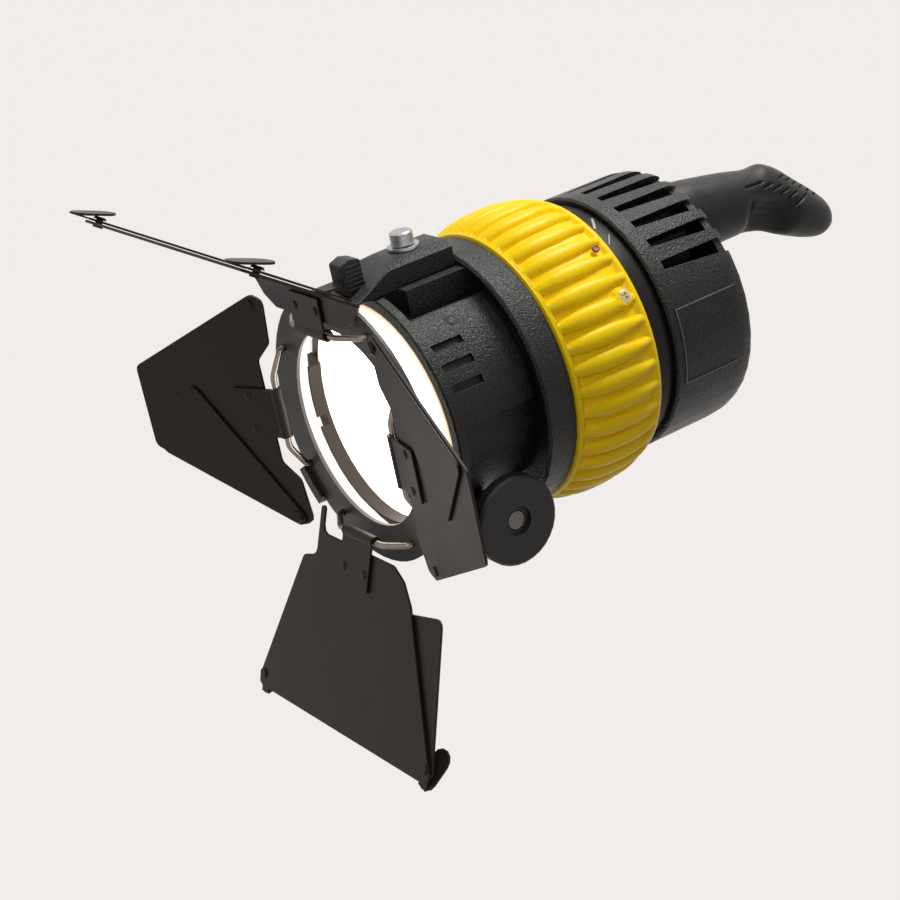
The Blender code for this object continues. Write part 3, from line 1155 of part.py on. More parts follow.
def clip(side):
    """A sheet riveted to the leaf's beam side and curled round the hinge wire."""
    lift = LEAF_THICKNESS / 2 + GAP + CLIP_THICKNESS / 2
    curl = WIRE_RADIUS + GAP + CLIP_THICKNESS / 2
    first = math.asin(min(1.0, lift / curl))
    length = LEAF_BEND_V - CLIP_BEND_CLEARANCE if LEAF_BEND[side] else CLIP_LENGTH
    line = [(length, lift)]
    line += arc((0, 0), curl, first, math.radians(320), 12)
    shape = bmesh.new()
    rows = []
    for u in (-CLIP_HALF_WIDTH, CLIP_HALF_WIDTH):
        rows.append([shape.verts.new((u, v, w)) for v, w in line])
    for i in range(len(line) - 1):
        shape.faces.new((rows[0][i], rows[0][i + 1], rows[1][i + 1], rows[1][i]))
    mesh = bpy.data.meshes.new(f"leaf_clip_{side}")
    shape.to_mesh(mesh)
    shape.free()
    strip = put(bpy.data.objects.new(f"leaf_clip_{side}", mesh), SATIN_BLACK, OPTICAL_AXIS)
    strip.matrix_local = leaf_matrix(side)
    thick = strip.modifiers.new("sheet", "SOLIDIFY")
    thick.thickness = CLIP_THICKNESS
    thick.offset = 0


stand_mount()
spigot_screw()
tilt_pieces()
front_housing()
front_rim()
front_lens()
lens_retainer()
spill_shield()
accessory_arm()
arm_screw()
latch()
focus_ring()
lens_carriage()
neck_collar()
rear_housing()
heat_sink()
light_source()
rear_cover()
handle()
power_inlet()
barndoor_ring()
for side in LEAF_SIDES:
    hinge_wire(side)
    leaf(side)
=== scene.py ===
# %% [markdown]
# # A studio spotlight with a yellow focusing ring and a four-leaf barndoor
#
# This lesson dresses the solid model of a small studio spotlight. The solids are loaded as a fixed
# frame, in metres. Each finish is then built from nodes, and the pieces that carry fine detail, such
# as the ribbed ring and the rear grip, are modelled again with more faces.

# %% Load the solids
import json
import math

import bmesh
import bpy
from mathutils import Matrix, Vector


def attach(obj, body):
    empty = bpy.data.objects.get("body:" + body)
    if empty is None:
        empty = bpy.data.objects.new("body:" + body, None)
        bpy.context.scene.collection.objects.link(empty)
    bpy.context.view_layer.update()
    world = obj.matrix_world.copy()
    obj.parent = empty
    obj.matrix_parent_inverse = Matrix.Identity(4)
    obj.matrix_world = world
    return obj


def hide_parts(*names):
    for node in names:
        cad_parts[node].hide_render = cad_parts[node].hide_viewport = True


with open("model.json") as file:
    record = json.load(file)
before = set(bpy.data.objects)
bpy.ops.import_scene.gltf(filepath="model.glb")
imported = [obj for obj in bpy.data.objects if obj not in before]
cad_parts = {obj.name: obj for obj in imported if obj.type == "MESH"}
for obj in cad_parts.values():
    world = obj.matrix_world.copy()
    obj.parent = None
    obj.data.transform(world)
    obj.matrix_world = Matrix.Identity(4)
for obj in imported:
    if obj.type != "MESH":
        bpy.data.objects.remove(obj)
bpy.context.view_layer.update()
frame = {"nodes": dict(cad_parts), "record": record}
nodes = frame["nodes"]

# %% [markdown]
# ## The lamp's own axes
#
# Every round piece of the lamp turns about one optical axis. The sizes below are easier to read in the
# lamp's own frame: x to the side with the clamping knob, y from front to back, z up. One offset moves
# such a point into the world, so each piece can be written as the drawing of the real lamp would be.

# %% Lamp frame
LAMP = Vector((0.070, -0.03345, 0.0684))


def lamp(x, y, z):
    return LAMP + Vector((x, y, z))


def around(azimuth, radius, y):
    """A point about the optical axis. The azimuth goes from the knob's side, 0, up to the top, 90."""
    turn = math.radians(azimuth)
    return lamp(radius * math.cos(turn), y, radius * math.sin(turn))


print("optical axis at", tuple(round(c, 4) for c in LAMP))

# %% [markdown]
# ## The camera
#
# The photograph was taken from the front, to the right and above, with a long lens. The camera is
# placed by three unit vectors: its right, its up, and the direction back from the object to the lens.

# %% Camera
RIGHT = Vector((0.559356, 0.806656, -0.190858))
UP = Vector((-0.218216, 0.365420, 0.904903))
BACK = Vector((0.799689, -0.464515, 0.380425))
CAMERA_SPOT = (0.731789, -0.380320, 0.359293)


def new_object(name, data):
    """An object at the origin that carries the given data."""
    obj = bpy.data.objects.new(name, data)
    bpy.context.scene.collection.objects.link(obj)
    return obj


camera_data = bpy.data.cameras.new("studio_camera")
camera_data.lens = 88.0
camera_data.sensor_width = 36.0
camera_data.clip_start = 0.05
camera = new_object("studio_camera", camera_data)
place = Matrix((RIGHT, UP, BACK)).transposed().to_4x4()
place.translation = CAMERA_SPOT
camera.matrix_world = place
bpy.context.scene.camera = camera
bpy.context.scene.view_settings.view_transform = "Standard"
print("camera", tuple(round(c, 3) for c in camera.location))

# %% [markdown]
# ## Helpers for finishes
#
# A finish is a material whose Principled BSDF is fed by a few noise patterns. Small helpers keep the
# node code short: one adds a node with its values and links, one starts a group with named sockets, and
# one starts a material. Uniform values go straight onto the shader's sockets, and only what changes
# over the surface is linked.


# %% Node helpers
def add(tree, kind, inputs=None, **settings):
    """Add a node with its settings. An input, by name or number, is linked to a socket or set to a value."""
    node = tree.nodes.new(kind)
    for name, value in settings.items():
        setattr(node, name, value)
    for name, value in (inputs or {}).items():
        if isinstance(value, bpy.types.NodeSocket):
            tree.links.new(value, node.inputs[name])
        else:
            node.inputs[name].default_value = value
    return node


def calc(tree, operation, *sources):
    """A Math node on sockets and numbers."""
    return add(tree, "ShaderNodeMath", dict(enumerate(sources)), operation=operation).outputs["Value"]


def vector_calc(tree, operation, *sources):
    """A Vector Math node on sockets and vectors."""
    return add(tree, "ShaderNodeVectorMath", dict(enumerate(sources)), operation=operation).outputs


def new_tree(name, kind, inputs, outputs):
    """A node group and the sockets that it is given. A row is a name, a kind and any first value."""
    tree = bpy.data.node_groups.new(name, kind)
    for direction, rows in (("INPUT", inputs), ("OUTPUT", outputs)):
        for label, sort, *value in rows:
            socket = tree.interface.new_socket(label, in_out=direction, socket_type=f"NodeSocket{sort}")
            if value:
                socket.default_value = value[0]
    return tree, add(tree, "NodeGroupInput").outputs


def finish_start(name, colour, roughness, metallic=0.0, settings=None):
    """A material with a Principled BSDF and object coordinates, ready for its patterns."""
    look = bpy.data.materials.new(name)
    look.use_nodes = True
    tree = look.node_tree
    shader = tree.nodes["Principled BSDF"]
    shader.inputs["Base Color"].default_value = (*colour, 1)
    shader.inputs["Roughness"].default_value = roughness
    shader.inputs["Metallic"].default_value = metallic
    for socket, value in (settings or {}).items():
        shader.inputs[socket].default_value = value
    look.diffuse_color = (*colour, 1)
    coords = add(tree, "ShaderNodeTexCoord").outputs["Object"]
    return look, tree, shader, coords


def ramp(tree, source, stops):
    """A colour ramp on a value, with (place, colour) stops."""
    node = add(tree, "ShaderNodeValToRGB", {"Fac": source})
    points = node.color_ramp.elements
    while len(points) < len(stops):
        points.new(0.5)
    for point, (where, colour) in zip(points, stops):
        point.position = where
        point.color = (*colour, 1)
    return node.outputs["Color"]


# %% [markdown]
# ## A grain that several finishes share
#
# The housings have a fine textured powder coat, the grip is moulded with a dull grain, and the sheets
# have a much finer tooth. They differ in size and depth only, so one node group makes the grain. It
# puts out a mask for colour and roughness, and a height for a Bump node.


# %% Grain group
def grain_group():
    group, given = new_tree(
        "surface_grain", "ShaderNodeTree",
        [("Vector", "Vector"), ("Grains per metre", "Float", 2500.0), ("Blotches per metre", "Float", 90.0)],
        [("Mask", "Float"), ("Blotches", "Float"), ("Height", "Float")])
    grains = {"Vector": given["Vector"], "Scale": given["Grains per metre"]}
    blotches = {"Vector": given["Vector"], "Scale": given["Blotches per metre"]}
    fine = add(group, "ShaderNodeTexNoise", {**grains, "Detail": 2.0, "Roughness": 0.6})
    cells = add(group, "ShaderNodeTexVoronoi", {**grains, "Smoothness": 0.6}, feature="SMOOTH_F1")
    wide = add(group, "ShaderNodeTexNoise", {**blotches, "Detail": 3.0, "Roughness": 0.55})
    lift = calc(group, "SUBTRACT", fine.outputs["Fac"], cells.outputs["Distance"])
    spread = add(group, "ShaderNodeMapRange", {"Value": lift, "From Min": -0.35, "From Max": 0.45})
    relief = spread.outputs["Result"]
    add(group, "NodeGroupOutput", {"Mask": relief, "Height": relief, "Blotches": wide.outputs["Fac"]})
    return group


GRAIN = grain_group()
print("group", GRAIN.name, [socket.name for socket in GRAIN.interface.items_tree])

# %% [markdown]
# ## Dust that settles on top
#
# A lamp in use gathers a little pale dust on what faces up. The mask is the upward part of the surface
# normal times a cloudy noise. Both are geometry and place, so the mask is the same from every view.


# %% Dust group
def dust_group():
    group, given = new_tree("settled_dust", "ShaderNodeTree",
                            [("Vector", "Vector"), ("Amount", "Float", 0.15)], [("Mask", "Float")])
    normal = add(group, "ShaderNodeNewGeometry").outputs["Normal"]
    height = add(group, "ShaderNodeSeparateXYZ", {"Vector": normal}).outputs["Z"]
    upward = add(group, "ShaderNodeMapRange", {"Value": height, "From Min": 0.1, "From Max": 1.0})
    cloud = add(group, "ShaderNodeTexNoise", {"Vector": given["Vector"], "Scale": 160.0, "Detail": 4.0,
                                              "Roughness": 0.6})
    settled = calc(group, "MULTIPLY", upward.outputs["Result"], cloud.outputs["Fac"])
    add(group, "NodeGroupOutput", {"Mask": calc(group, "MULTIPLY", settled, given["Amount"])})
    return group


DUST = dust_group()
print("group", DUST.name)

# %% [markdown]
# ## Coated and moulded surfaces
#
# One function makes every coated or moulded finish from the two groups. The grain mixes two close
# colours and moves the roughness a little, the dust lightens what faces up, and the grain's height
# goes through a Bump node. A coat also fills sharp edges, so a Bevel node rounds the shading there.
# Only sizes and colours differ between the powder coat and the plastics.

# %% Coated finishes
COAT_EDGE = 0.0004
RELIEF_HEIGHT = 0.0002
DUST_COLOUR = (0.42, 0.41, 0.39)


def vary_roughness(tree, shader, pattern, low, high):
    """Let a pattern move the roughness between two values."""
    rough = add(tree, "ShaderNodeMapRange", {"Value": pattern, "To Min": low, "To Max": high})
    tree.links.new(rough.outputs["Result"], shader.inputs["Roughness"])


def lay_relief(tree, shader, pattern, strength, edge_radius):
    """Round the shading at sharp edges and lay the pattern on it as a fine relief."""
    edge = add(tree, "ShaderNodeBevel", {"Radius": edge_radius}, samples=4)
    relief = add(tree, "ShaderNodeBump", {"Height": pattern, "Normal": edge.outputs["Normal"],
                                          "Strength": strength, "Distance": RELIEF_HEIGHT})
    tree.links.new(relief.outputs["Normal"], shader.inputs["Normal"])


def coated(name, dark, light, roughness, grains, bump, dust=0.0, blotches=90.0, swing=0.08, gloss=0.5):
    """A grained finish. Grains and blotches are counted on a metre, gloss is the specular level."""
    look, tree, shader, coords = finish_start(name, dark, roughness, settings={"Specular IOR Level": gloss})
    grain = add(tree, "ShaderNodeGroup", {"Vector": coords, "Grains per metre": grains,
                                          "Blotches per metre": blotches}, node_tree=GRAIN)
    settled = add(tree, "ShaderNodeGroup", {"Vector": coords, "Amount": dust}, node_tree=DUST)
    tint = ramp(tree, grain.outputs["Mask"], [(0.25, dark), (0.85, light)])
    mix = add(tree, "ShaderNodeMix", {"Factor": settled.outputs["Mask"], 6: tint, 7: (*DUST_COLOUR, 1)},
              data_type="RGBA")
    tree.links.new(mix.outputs[2], shader.inputs["Base Color"])
    vary_roughness(tree, shader, grain.outputs["Blotches"], roughness - swing, roughness + swing)
    lay_relief(tree, shader, grain.outputs["Height"], bump, COAT_EDGE)
    return look


POWDER_BLACK = coated("textured_powder_black", (0.0035, 0.0035, 0.0034), (0.017, 0.017, 0.0165), 0.34,
                      1400.0, 1.0, dust=0.15, gloss=0.21)
SHEET_BLACK = coated("satin_black_sheet", (0.0160, 0.0102, 0.0080), (0.027, 0.0172, 0.0138), 0.36,
                     3600.0, 0.10, dust=0.03, blotches=45.0, gloss=0.17)
# The ring's lighter, warmer black is painted flare light from the lens on its face.
RING_BLACK = coated("ring_black_painted_flare", (0.044, 0.036, 0.031), (0.070, 0.058, 0.050), 0.38,
                    3000.0, 0.12, dust=0.05, blotches=60.0, gloss=0.30)
GRIP_PLASTIC = coated("moulded_grip_black", (0.005, 0.005, 0.0049), (0.0095, 0.0095, 0.0093), 0.38,
                      2600.0, 0.16, dust=0.16, blotches=70.0, gloss=0.20)
KNOB_PLASTIC = coated("smooth_knob_black", (0.009, 0.0085, 0.008), (0.016, 0.0155, 0.015), 0.44,
                      2600.0, 0.12, dust=0.06, gloss=0.30)
RING_YELLOW = coated("gloss_yellow_plastic", (0.86, 0.57, 0.0006), (0.91, 0.61, 0.001), 0.34,
                     900.0, 0.015, blotches=60.0, swing=0.05, gloss=0.15)
BOARD_WHITE = coated("board_white", (0.74, 0.74, 0.72), (0.82, 0.82, 0.80), 0.5, 1500.0, 0.05)
# The frame's pale grey is a painted highlight that stands in for light catching the frame's edges.
FRAME_HIGHLIGHT = coated("painted_frame_highlight", (0.055, 0.054, 0.052), (0.10, 0.10, 0.097), 0.5, 2500.0, 0.1, dust=0.1)
NECK_BLACK = coated("shaded_neck_black", (0.004, 0.0038, 0.0036), (0.008, 0.0077, 0.0074), 0.42,
                    2600.0, 0.12, dust=0.04, gloss=0.16)
MARK_WHITE = coated("paint_mark_white", (0.30, 0.26, 0.25), (0.46, 0.41, 0.39), 0.5, 2500.0, 0.1)
PHOSPHOR = coated("led_phosphor", (0.90, 0.72, 0.16), (0.95, 0.80, 0.22), 0.5, 3000.0, 0.05)
HOLE_RED = coated("dark_red_plug", (0.16, 0.03, 0.02), (0.24, 0.05, 0.03), 0.5, 2500.0, 0.1)
print("coated finishes made")

# %% [markdown]
# ## Metals
#
# Turned metal shows fine lines, and drawn or coated metal a fine mottle. One noise makes both. It has
# its own number of cells on a metre along each axis, and few of them along the lamp's axis give lines.
# It moves the roughness and a slight bump, so highlights break up as on real wire, screws and sheet.

# %% Metal finishes
METAL_EDGE = 0.0002
TARNISHED = 0.72


def metal(name, colour, roughness, cells_per_metre=(900, 900, 900), bump=0.04, swing=0.07, tarnish=None):
    look, tree, shader, coords = finish_start(name, colour, roughness, 1.0)
    place = add(tree, "ShaderNodeMapping", {"Vector": coords, "Scale": cells_per_metre})
    cells = add(tree, "ShaderNodeTexNoise", {"Vector": place.outputs["Vector"], "Scale": 1.0, "Detail": 3.0,
                                             "Roughness": 0.6}).outputs["Fac"]
    vary_roughness(tree, shader, cells, roughness - swing, roughness + swing)
    shade = tarnish or tuple(TARNISHED * c for c in colour)
    tree.links.new(ramp(tree, cells, [(0.2, shade), (0.65, colour)]), shader.inputs["Base Color"])
    lay_relief(tree, shader, cells, bump, METAL_EDGE)
    return look


STEEL = metal("polished_steel", (0.66, 0.64, 0.61), 0.24)
WIRE_STEEL = metal("dulled_wire", (0.26, 0.225, 0.195), 0.25, (500, 500, 500), bump=0.008, swing=0.04,
                   tarnish=(0.18, 0.152, 0.13))
DARK_STEEL = metal("blackened_steel", (0.13, 0.125, 0.12), 0.38)
ZINC = metal("pale_zinc", (0.50, 0.51, 0.52), 0.36, (2200, 260, 2200))
DARK_ANODISED = metal("black_anodised", (0.045, 0.044, 0.042), 0.42, (420, 420, 420))
BRASS = metal("brass", (0.72, 0.53, 0.25), 0.33)
print("metals made")

# %% [markdown]
# ## Glass and sheet that are lit
#
# The lamp is on. From the front its lens is a sheet of warm white light, which falls to cream in the
# last millimetres of the edge, where only stray light comes through. The lens is a smooth surface with
# emission, and a ramp on the distance from the optical axis sets it. The bright band round the lens
# catches that light, and its glow is painted light, an emission in its finish. The dark retainer gets a
# faint painted glow the same way. The lens inside is plain clear glass.

# %% Lit lens and inner glass
LENS_RADIUS = 0.0439
LENS_GLOW = [(0.0, (1.0, 0.96, 0.90)), (0.88, (1.0, 0.93, 0.84)), (0.94, (0.34, 0.27, 0.19)),
             (1.0, (0.13, 0.092, 0.058))]
BLOTCH_SHADE = 0.72


def lit_lens():
    look, tree, shader, coords = finish_start("lit_lens", (0.86, 0.84, 0.80), 0.12)
    centred = vector_calc(tree, "SUBTRACT", coords, LAMP)["Vector"]
    flat = vector_calc(tree, "MULTIPLY", centred, (1, 0, 1))["Vector"]
    distance = vector_calc(tree, "LENGTH", flat)["Value"]
    share = add(tree, "ShaderNodeMapRange", {"Value": distance, "From Min": 0.0, "From Max": LENS_RADIUS})
    tree.links.new(ramp(tree, share.outputs["Result"], LENS_GLOW), shader.inputs["Emission Color"])
    shader.inputs["Emission Strength"].default_value = 5.0
    return look


def glowing_sheet(name, colour, glow, strength, gloss=0.5):
    """A sheet that the lens lights strongly, shown as a painted glow, with soft blotches in that glow."""
    look, tree, shader, coords = finish_start(name, colour, 0.5, settings={"Specular IOR Level": gloss})
    cloud = add(tree, "ShaderNodeTexNoise", {"Vector": coords, "Scale": 70.0, "Detail": 2.0})
    dimmed = tuple(BLOTCH_SHADE * c for c in glow)
    light = ramp(tree, cloud.outputs["Fac"], [(0.3, dimmed), (0.6, glow)])
    tree.links.new(light, shader.inputs["Emission Color"])
    shader.inputs["Emission Strength"].default_value = strength
    return look


def clear_glass():
    look, tree, shader, coords = finish_start("inner_glass", (0.96, 0.95, 0.92), 0.06,
                                              settings={"Transmission Weight": 1.0, "IOR": 1.5})
    cloud = add(tree, "ShaderNodeTexNoise", {"Vector": coords, "Scale": 60.0})
    vary_roughness(tree, shader, cloud.outputs["Fac"], 0.03, 0.12)
    return look


LIT_LENS = lit_lens()
# The band's and the retainer's glows are painted light, an emission for the lens's light on them.
LIT_BAND = glowing_sheet("lit_band", (0.80, 0.78, 0.74), (1.0, 0.95, 0.88), 1.15)
LIT_RETAINER = glowing_sheet("lit_retainer", (0.020, 0.016, 0.013), (0.42, 0.33, 0.26), 0.05, gloss=0.10)
INNER_GLASS = clear_glass()
print("glass made")

# %% [markdown]
# ## Finishes for the solids
#
# Most solids already have the right shape, so each only needs a finish. The heat sink sits behind the
# slots of the rear housing, so it is black anodised, and that black also stands for the shade deep in
# the slots as painted shade. The leaves, clips and flaps aren't in the list, because all are of black sheet.

# %% Dress the solids
HINGE_WIRES = [name for name in nodes if name.startswith("hinge_wire")]
STEEL_SOLIDS = ("latch_post latch_spring handle_screw_upper handle_screw_lower drive_pin_near drive_pin_far"
                " spigot_screw tilt_spacer")
FINISHES = (
    (POWDER_BLACK, "stand_mount front_housing front_rim accessory_arm rear_housing rear_cover"),
    (NECK_BLACK, "neck_collar"), (GRIP_PLASTIC, "handle"), (KNOB_PLASTIC, "tilt_knob latch_knob"),
    # The heat sink's black is partly painted shade for the inside of the rear slots.
    (RING_YELLOW, "focus_ring"), (RING_BLACK, "barndoor_ring"), (DARK_ANODISED, "heat_sink lens_carriage"),
    (STEEL, STEEL_SOLIDS), (DARK_STEEL, "tilt_bolt"), (BRASS, "friction_washer"),
    (ZINC, "arm_screw arm_washer power_inlet focus_ring_screw"),
    (BOARD_WHITE, "led_board"), (PHOSPHOR, "led_emitter"), (INNER_GLASS, "inner_lens"),
    (LIT_LENS, "front_lens"), (LIT_RETAINER, "lens_retainer"), (LIT_BAND, "spill_shield"),
)
finish_of = {name: look for look, names in FINISHES for name in names.split()}
finish_of.update(dict.fromkeys(HINGE_WIRES, STEEL))
for name, node in nodes.items():
    for slot in node.material_slots:
        slot.material = finish_of.get(name, SHEET_BLACK)
print("dressed", len(nodes), "solids")

# %% [markdown]
# ## Helpers for pieces
#
# A detailed piece starts as plain vertices and faces, gets its finish and its smooth shading, and is
# then linked to the scene. Its object stays at the origin, because its place is in its mesh.

# %% Piece helpers
POLE_RADIUS = 0.00001


def piece(name, mesh, look, crease=38):
    """Give a mesh its finish and its object. Edges sharper than the crease, in degrees, stay crisp."""
    mesh.materials.clear()
    mesh.materials.append(look)
    if crease:
        mesh.shade_smooth()
        mesh.set_sharp_from_angle(angle=math.radians(crease))
    return new_object(name, mesh)


def mend(mesh, merge=0.0, flat_angle=0.0):
    """Merge points that meet, join faces that are flat together, and turn all faces outwards."""
    shape = bmesh.new()
    shape.from_mesh(mesh)
    if merge:
        bmesh.ops.remove_doubles(shape, verts=shape.verts, dist=merge)
    if flat_angle:
        bmesh.ops.dissolve_limit(shape, angle_limit=flat_angle, verts=shape.verts, edges=shape.edges)
    bmesh.ops.recalc_face_normals(shape, faces=shape.faces)
    shape.to_mesh(mesh)
    shape.free()
    return mesh


def grid_mesh(name, rows, close_rows=False, caps=False):
    """A mesh over a grid of points, closed around each row, with flat ends or joined to itself."""
    count = len(rows)
    ring = len(rows[0])
    faces = []
    for i in range(count if close_rows else count - 1):
        here = i * ring
        there = ((i + 1) % count) * ring
        for k in range(ring):
            faces.append((here + k, here + (k + 1) % ring, there + (k + 1) % ring, there + k))
    if caps:
        faces.append(tuple(range(ring - 1, -1, -1)))
        faces.append(tuple((count - 1) * ring + k for k in range(ring)))
    mesh = bpy.data.meshes.new(name)
    mesh.from_pydata([tuple(point) for row in rows for point in row], [], faces)
    return mend(mesh)


def axis_frame(axis):
    """Three unit vectors: one along the axis and two across it."""
    toward = Vector(axis).normalized()
    side = toward.orthogonal().normalized()
    return toward, side, toward.cross(side)


def circle(axis, count):
    """Unit vectors all round an axis."""
    toward, side, other = axis_frame(axis)
    turns = [2 * math.pi * k / count for k in range(count)]
    return [side * math.cos(turn) + other * math.sin(turn) for turn in turns]


def turned(name, profile, steps, origin, axis, look):
    """Turn (radius, height) points about an axis, from the middle of one end to that of the other."""
    toward = Vector(axis).normalized()
    arms = circle(axis, steps)
    rows = [[Vector(origin) + toward * height + arm * max(radius, POLE_RADIUS) for arm in arms]
            for radius, height in profile]
    return piece(name, grid_mesh(name, rows, caps=True), look)


# %% [markdown]
# ## Turned pieces that shade as round
#
# The solids are made of flat facets, and a turned housing would show them. A copy of each visible
# solid is merged at its corners and shaded smooth, and edges sharper than 28 degrees stay crisp. Its
# shape isn't changed. The copy takes the solid's place and rides on the same body.

# %% Smooth copies
REMODELLED = {"focus_ring", "focus_ring_screw", "front_lens", "handle", *HINGE_WIRES}
BODIES = frame["record"]["behaviour"]["bodies"]
BODY_OF = {name: body for body, group in BODIES.items() for name in group}
SOLID_CREASE = 28
SAME_POINT = 0.000002
SAME_PLANE = math.radians(0.4)


def smooth_copy(name):
    source = nodes[name]
    mesh = source.data.copy()
    mesh.transform(source.matrix_world)
    if "custom_normal" in mesh.attributes:
        mesh.attributes.remove(mesh.attributes["custom_normal"])
    mend(mesh, SAME_POINT, SAME_PLANE)
    copy = piece(f"{name}_smooth", mesh, source.material_slots[0].material, SOLID_CREASE)
    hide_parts(name)
    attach(copy, BODY_OF[name])
    return copy


smooth_copies = [smooth_copy(name) for name in sorted(nodes) if name not in REMODELLED]
print("smooth copies", len(smooth_copies))

# %% [markdown]
# ## A node tree that every repeated detail shares
#
# Ribs, knurls and rivets are small bars or domes that repeat. One Geometry Nodes tree puts a bar or a
# dome on every point of a mesh and turns it to an outward direction that the points carry. The sizes
# are named inputs. Realize Instances makes real faces of the copies, because only real faces are kept.


# %% Detail tree
def painted_end(tree, shape, finish):
    """Make real faces of a shape, give them the finish, and lead them out of the tree."""
    real = add(tree, "GeometryNodeRealizeInstances", {"Geometry": shape}).outputs["Geometry"]
    paint = add(tree, "GeometryNodeSetMaterial", {"Geometry": real, "Material": finish})
    add(tree, "NodeGroupOutput", {"Geometry": paint.outputs["Geometry"]})


def carried(tree, name):
    """A direction that the points carry."""
    return add(tree, "GeometryNodeInputNamedAttribute", {"Name": name},
               data_type="FLOAT_VECTOR").outputs["Attribute"]


def detail_tree():
    tree, given = new_tree(
        "details_on_points", "GeometryNodeTree",
        [("Geometry", "Geometry"), ("Bar size", "Vector", (0.001, 0.001, 0.001)),
         ("Dome radius", "Float", 0.001), ("Dome height", "Float", 0.0005), ("Use domes", "Bool", False),
         ("Finish", "Material")],
        [("Geometry", "Geometry")])
    bar = add(tree, "GeometryNodeMeshCube", {"Size": given["Bar size"]})
    ball = add(tree, "GeometryNodeMeshUVSphere", {"Segments": 16, "Rings": 10, "Radius": 1.0})
    radius = given["Dome radius"]
    size = add(tree, "ShaderNodeCombineXYZ", {"X": radius, "Y": radius, "Z": given["Dome height"]})
    dome = add(tree, "GeometryNodeTransform",
               {"Geometry": ball.outputs["Mesh"], "Scale": size.outputs["Vector"]})
    choice = add(tree, "GeometryNodeSwitch",
                 {"Switch": given["Use domes"], "False": bar.outputs["Mesh"],
                  "True": dome.outputs["Geometry"]}, input_type="GEOMETRY")
    upright = add(tree, "FunctionNodeAlignRotationToVector", {"Vector": carried(tree, "outward")}, axis="Z")
    aligned = add(tree, "FunctionNodeAlignRotationToVector",
                  {"Rotation": upright.outputs["Rotation"], "Vector": carried(tree, "along")},
                  axis="X", pivot_axis="Z")
    copies = add(tree, "GeometryNodeInstanceOnPoints",
                 {"Points": given["Geometry"], "Instance": choice.outputs["Output"],
                  "Rotation": aligned.outputs["Rotation"]})
    painted_end(tree, copies.outputs["Instances"], given["Finish"])
    return tree


def baked(obj):
    """The shape of an object after its modifiers, as a new plain mesh."""
    depsgraph = bpy.context.evaluated_depsgraph_get()
    return bpy.data.meshes.new_from_object(obj.evaluated_get(depsgraph))


def grown(name, mesh, tree, sizes, look, crease=38):
    """Run a geometry tree on a mesh and keep the result as a plain mesh piece."""
    seedling = new_object(f"{name}_points", mesh)
    modifier = seedling.modifiers.new("grow", "NODES")
    modifier.node_group = tree
    values = {**sizes, "Finish": look}
    for socket in tree.interface.items_tree:
        if socket.item_type == "SOCKET" and socket.in_out == "INPUT" and socket.name in values:
            modifier[socket.identifier] = values[socket.name]
    result = baked(seedling)
    bpy.data.objects.remove(seedling)
    print(name, len(result.vertices), "points")
    return piece(name, result, look, crease)


def detail_points(spots):
    """A mesh of loose points with an outward and an along direction on each."""
    mesh = bpy.data.meshes.new("spots")
    mesh.from_pydata([tuple(place) for place, outward, along in spots], [], [])
    for name, column in (("outward", 1), ("along", 2)):
        layer = mesh.attributes.new(name, "FLOAT_VECTOR", "POINT")
        layer.data.foreach_set("vector", [c for spot in spots for c in spot[column]])
    return mesh


DETAILS = detail_tree()
print("tree", DETAILS.name)

# %% [markdown]
# ## The ribbed focusing ring
#
# The yellow ring is a crowned sleeve with forty spindle-shaped ribs, so that a gloved hand can turn it.
# Each rib starts with a blunt round tip at the front, is widest before the middle and tapers to the
# rear. The ribs follow a rule, so a second tree presses the valleys between them into a smooth blank,
# and what stays is a half-round rib whose width changes along the ring. The valleys stop short of both
# edges, and none is pressed at the place of the small screw.

# %% Groove tree
RIBS = 40
# A fade goes smoothly between two places. Its first two numbers are those places, as shares of the
# ring's length, and the last two are its values there.
RIB_SWELLS = (0.03, 0.36, 0.64, 0.82)
RIB_TAPERS = (0.50, 0.95, 1.0, 0.50)
FRONT_TIP = (0.045, 0.095, 0.4, 1.0)
REAR_TIP = (0.90, 0.955, 1.0, 0.45)
VALLEY_STARTS = (0.045, 0.09, 0.0, 1.0)
VALLEY_STOPS = (0.87, 0.955, 1.0, 0.0)
# This one goes with the distance from the screw, in metres.
SCREW_CLEARS = (0.0030, 0.0050, 0.0, 1.0)


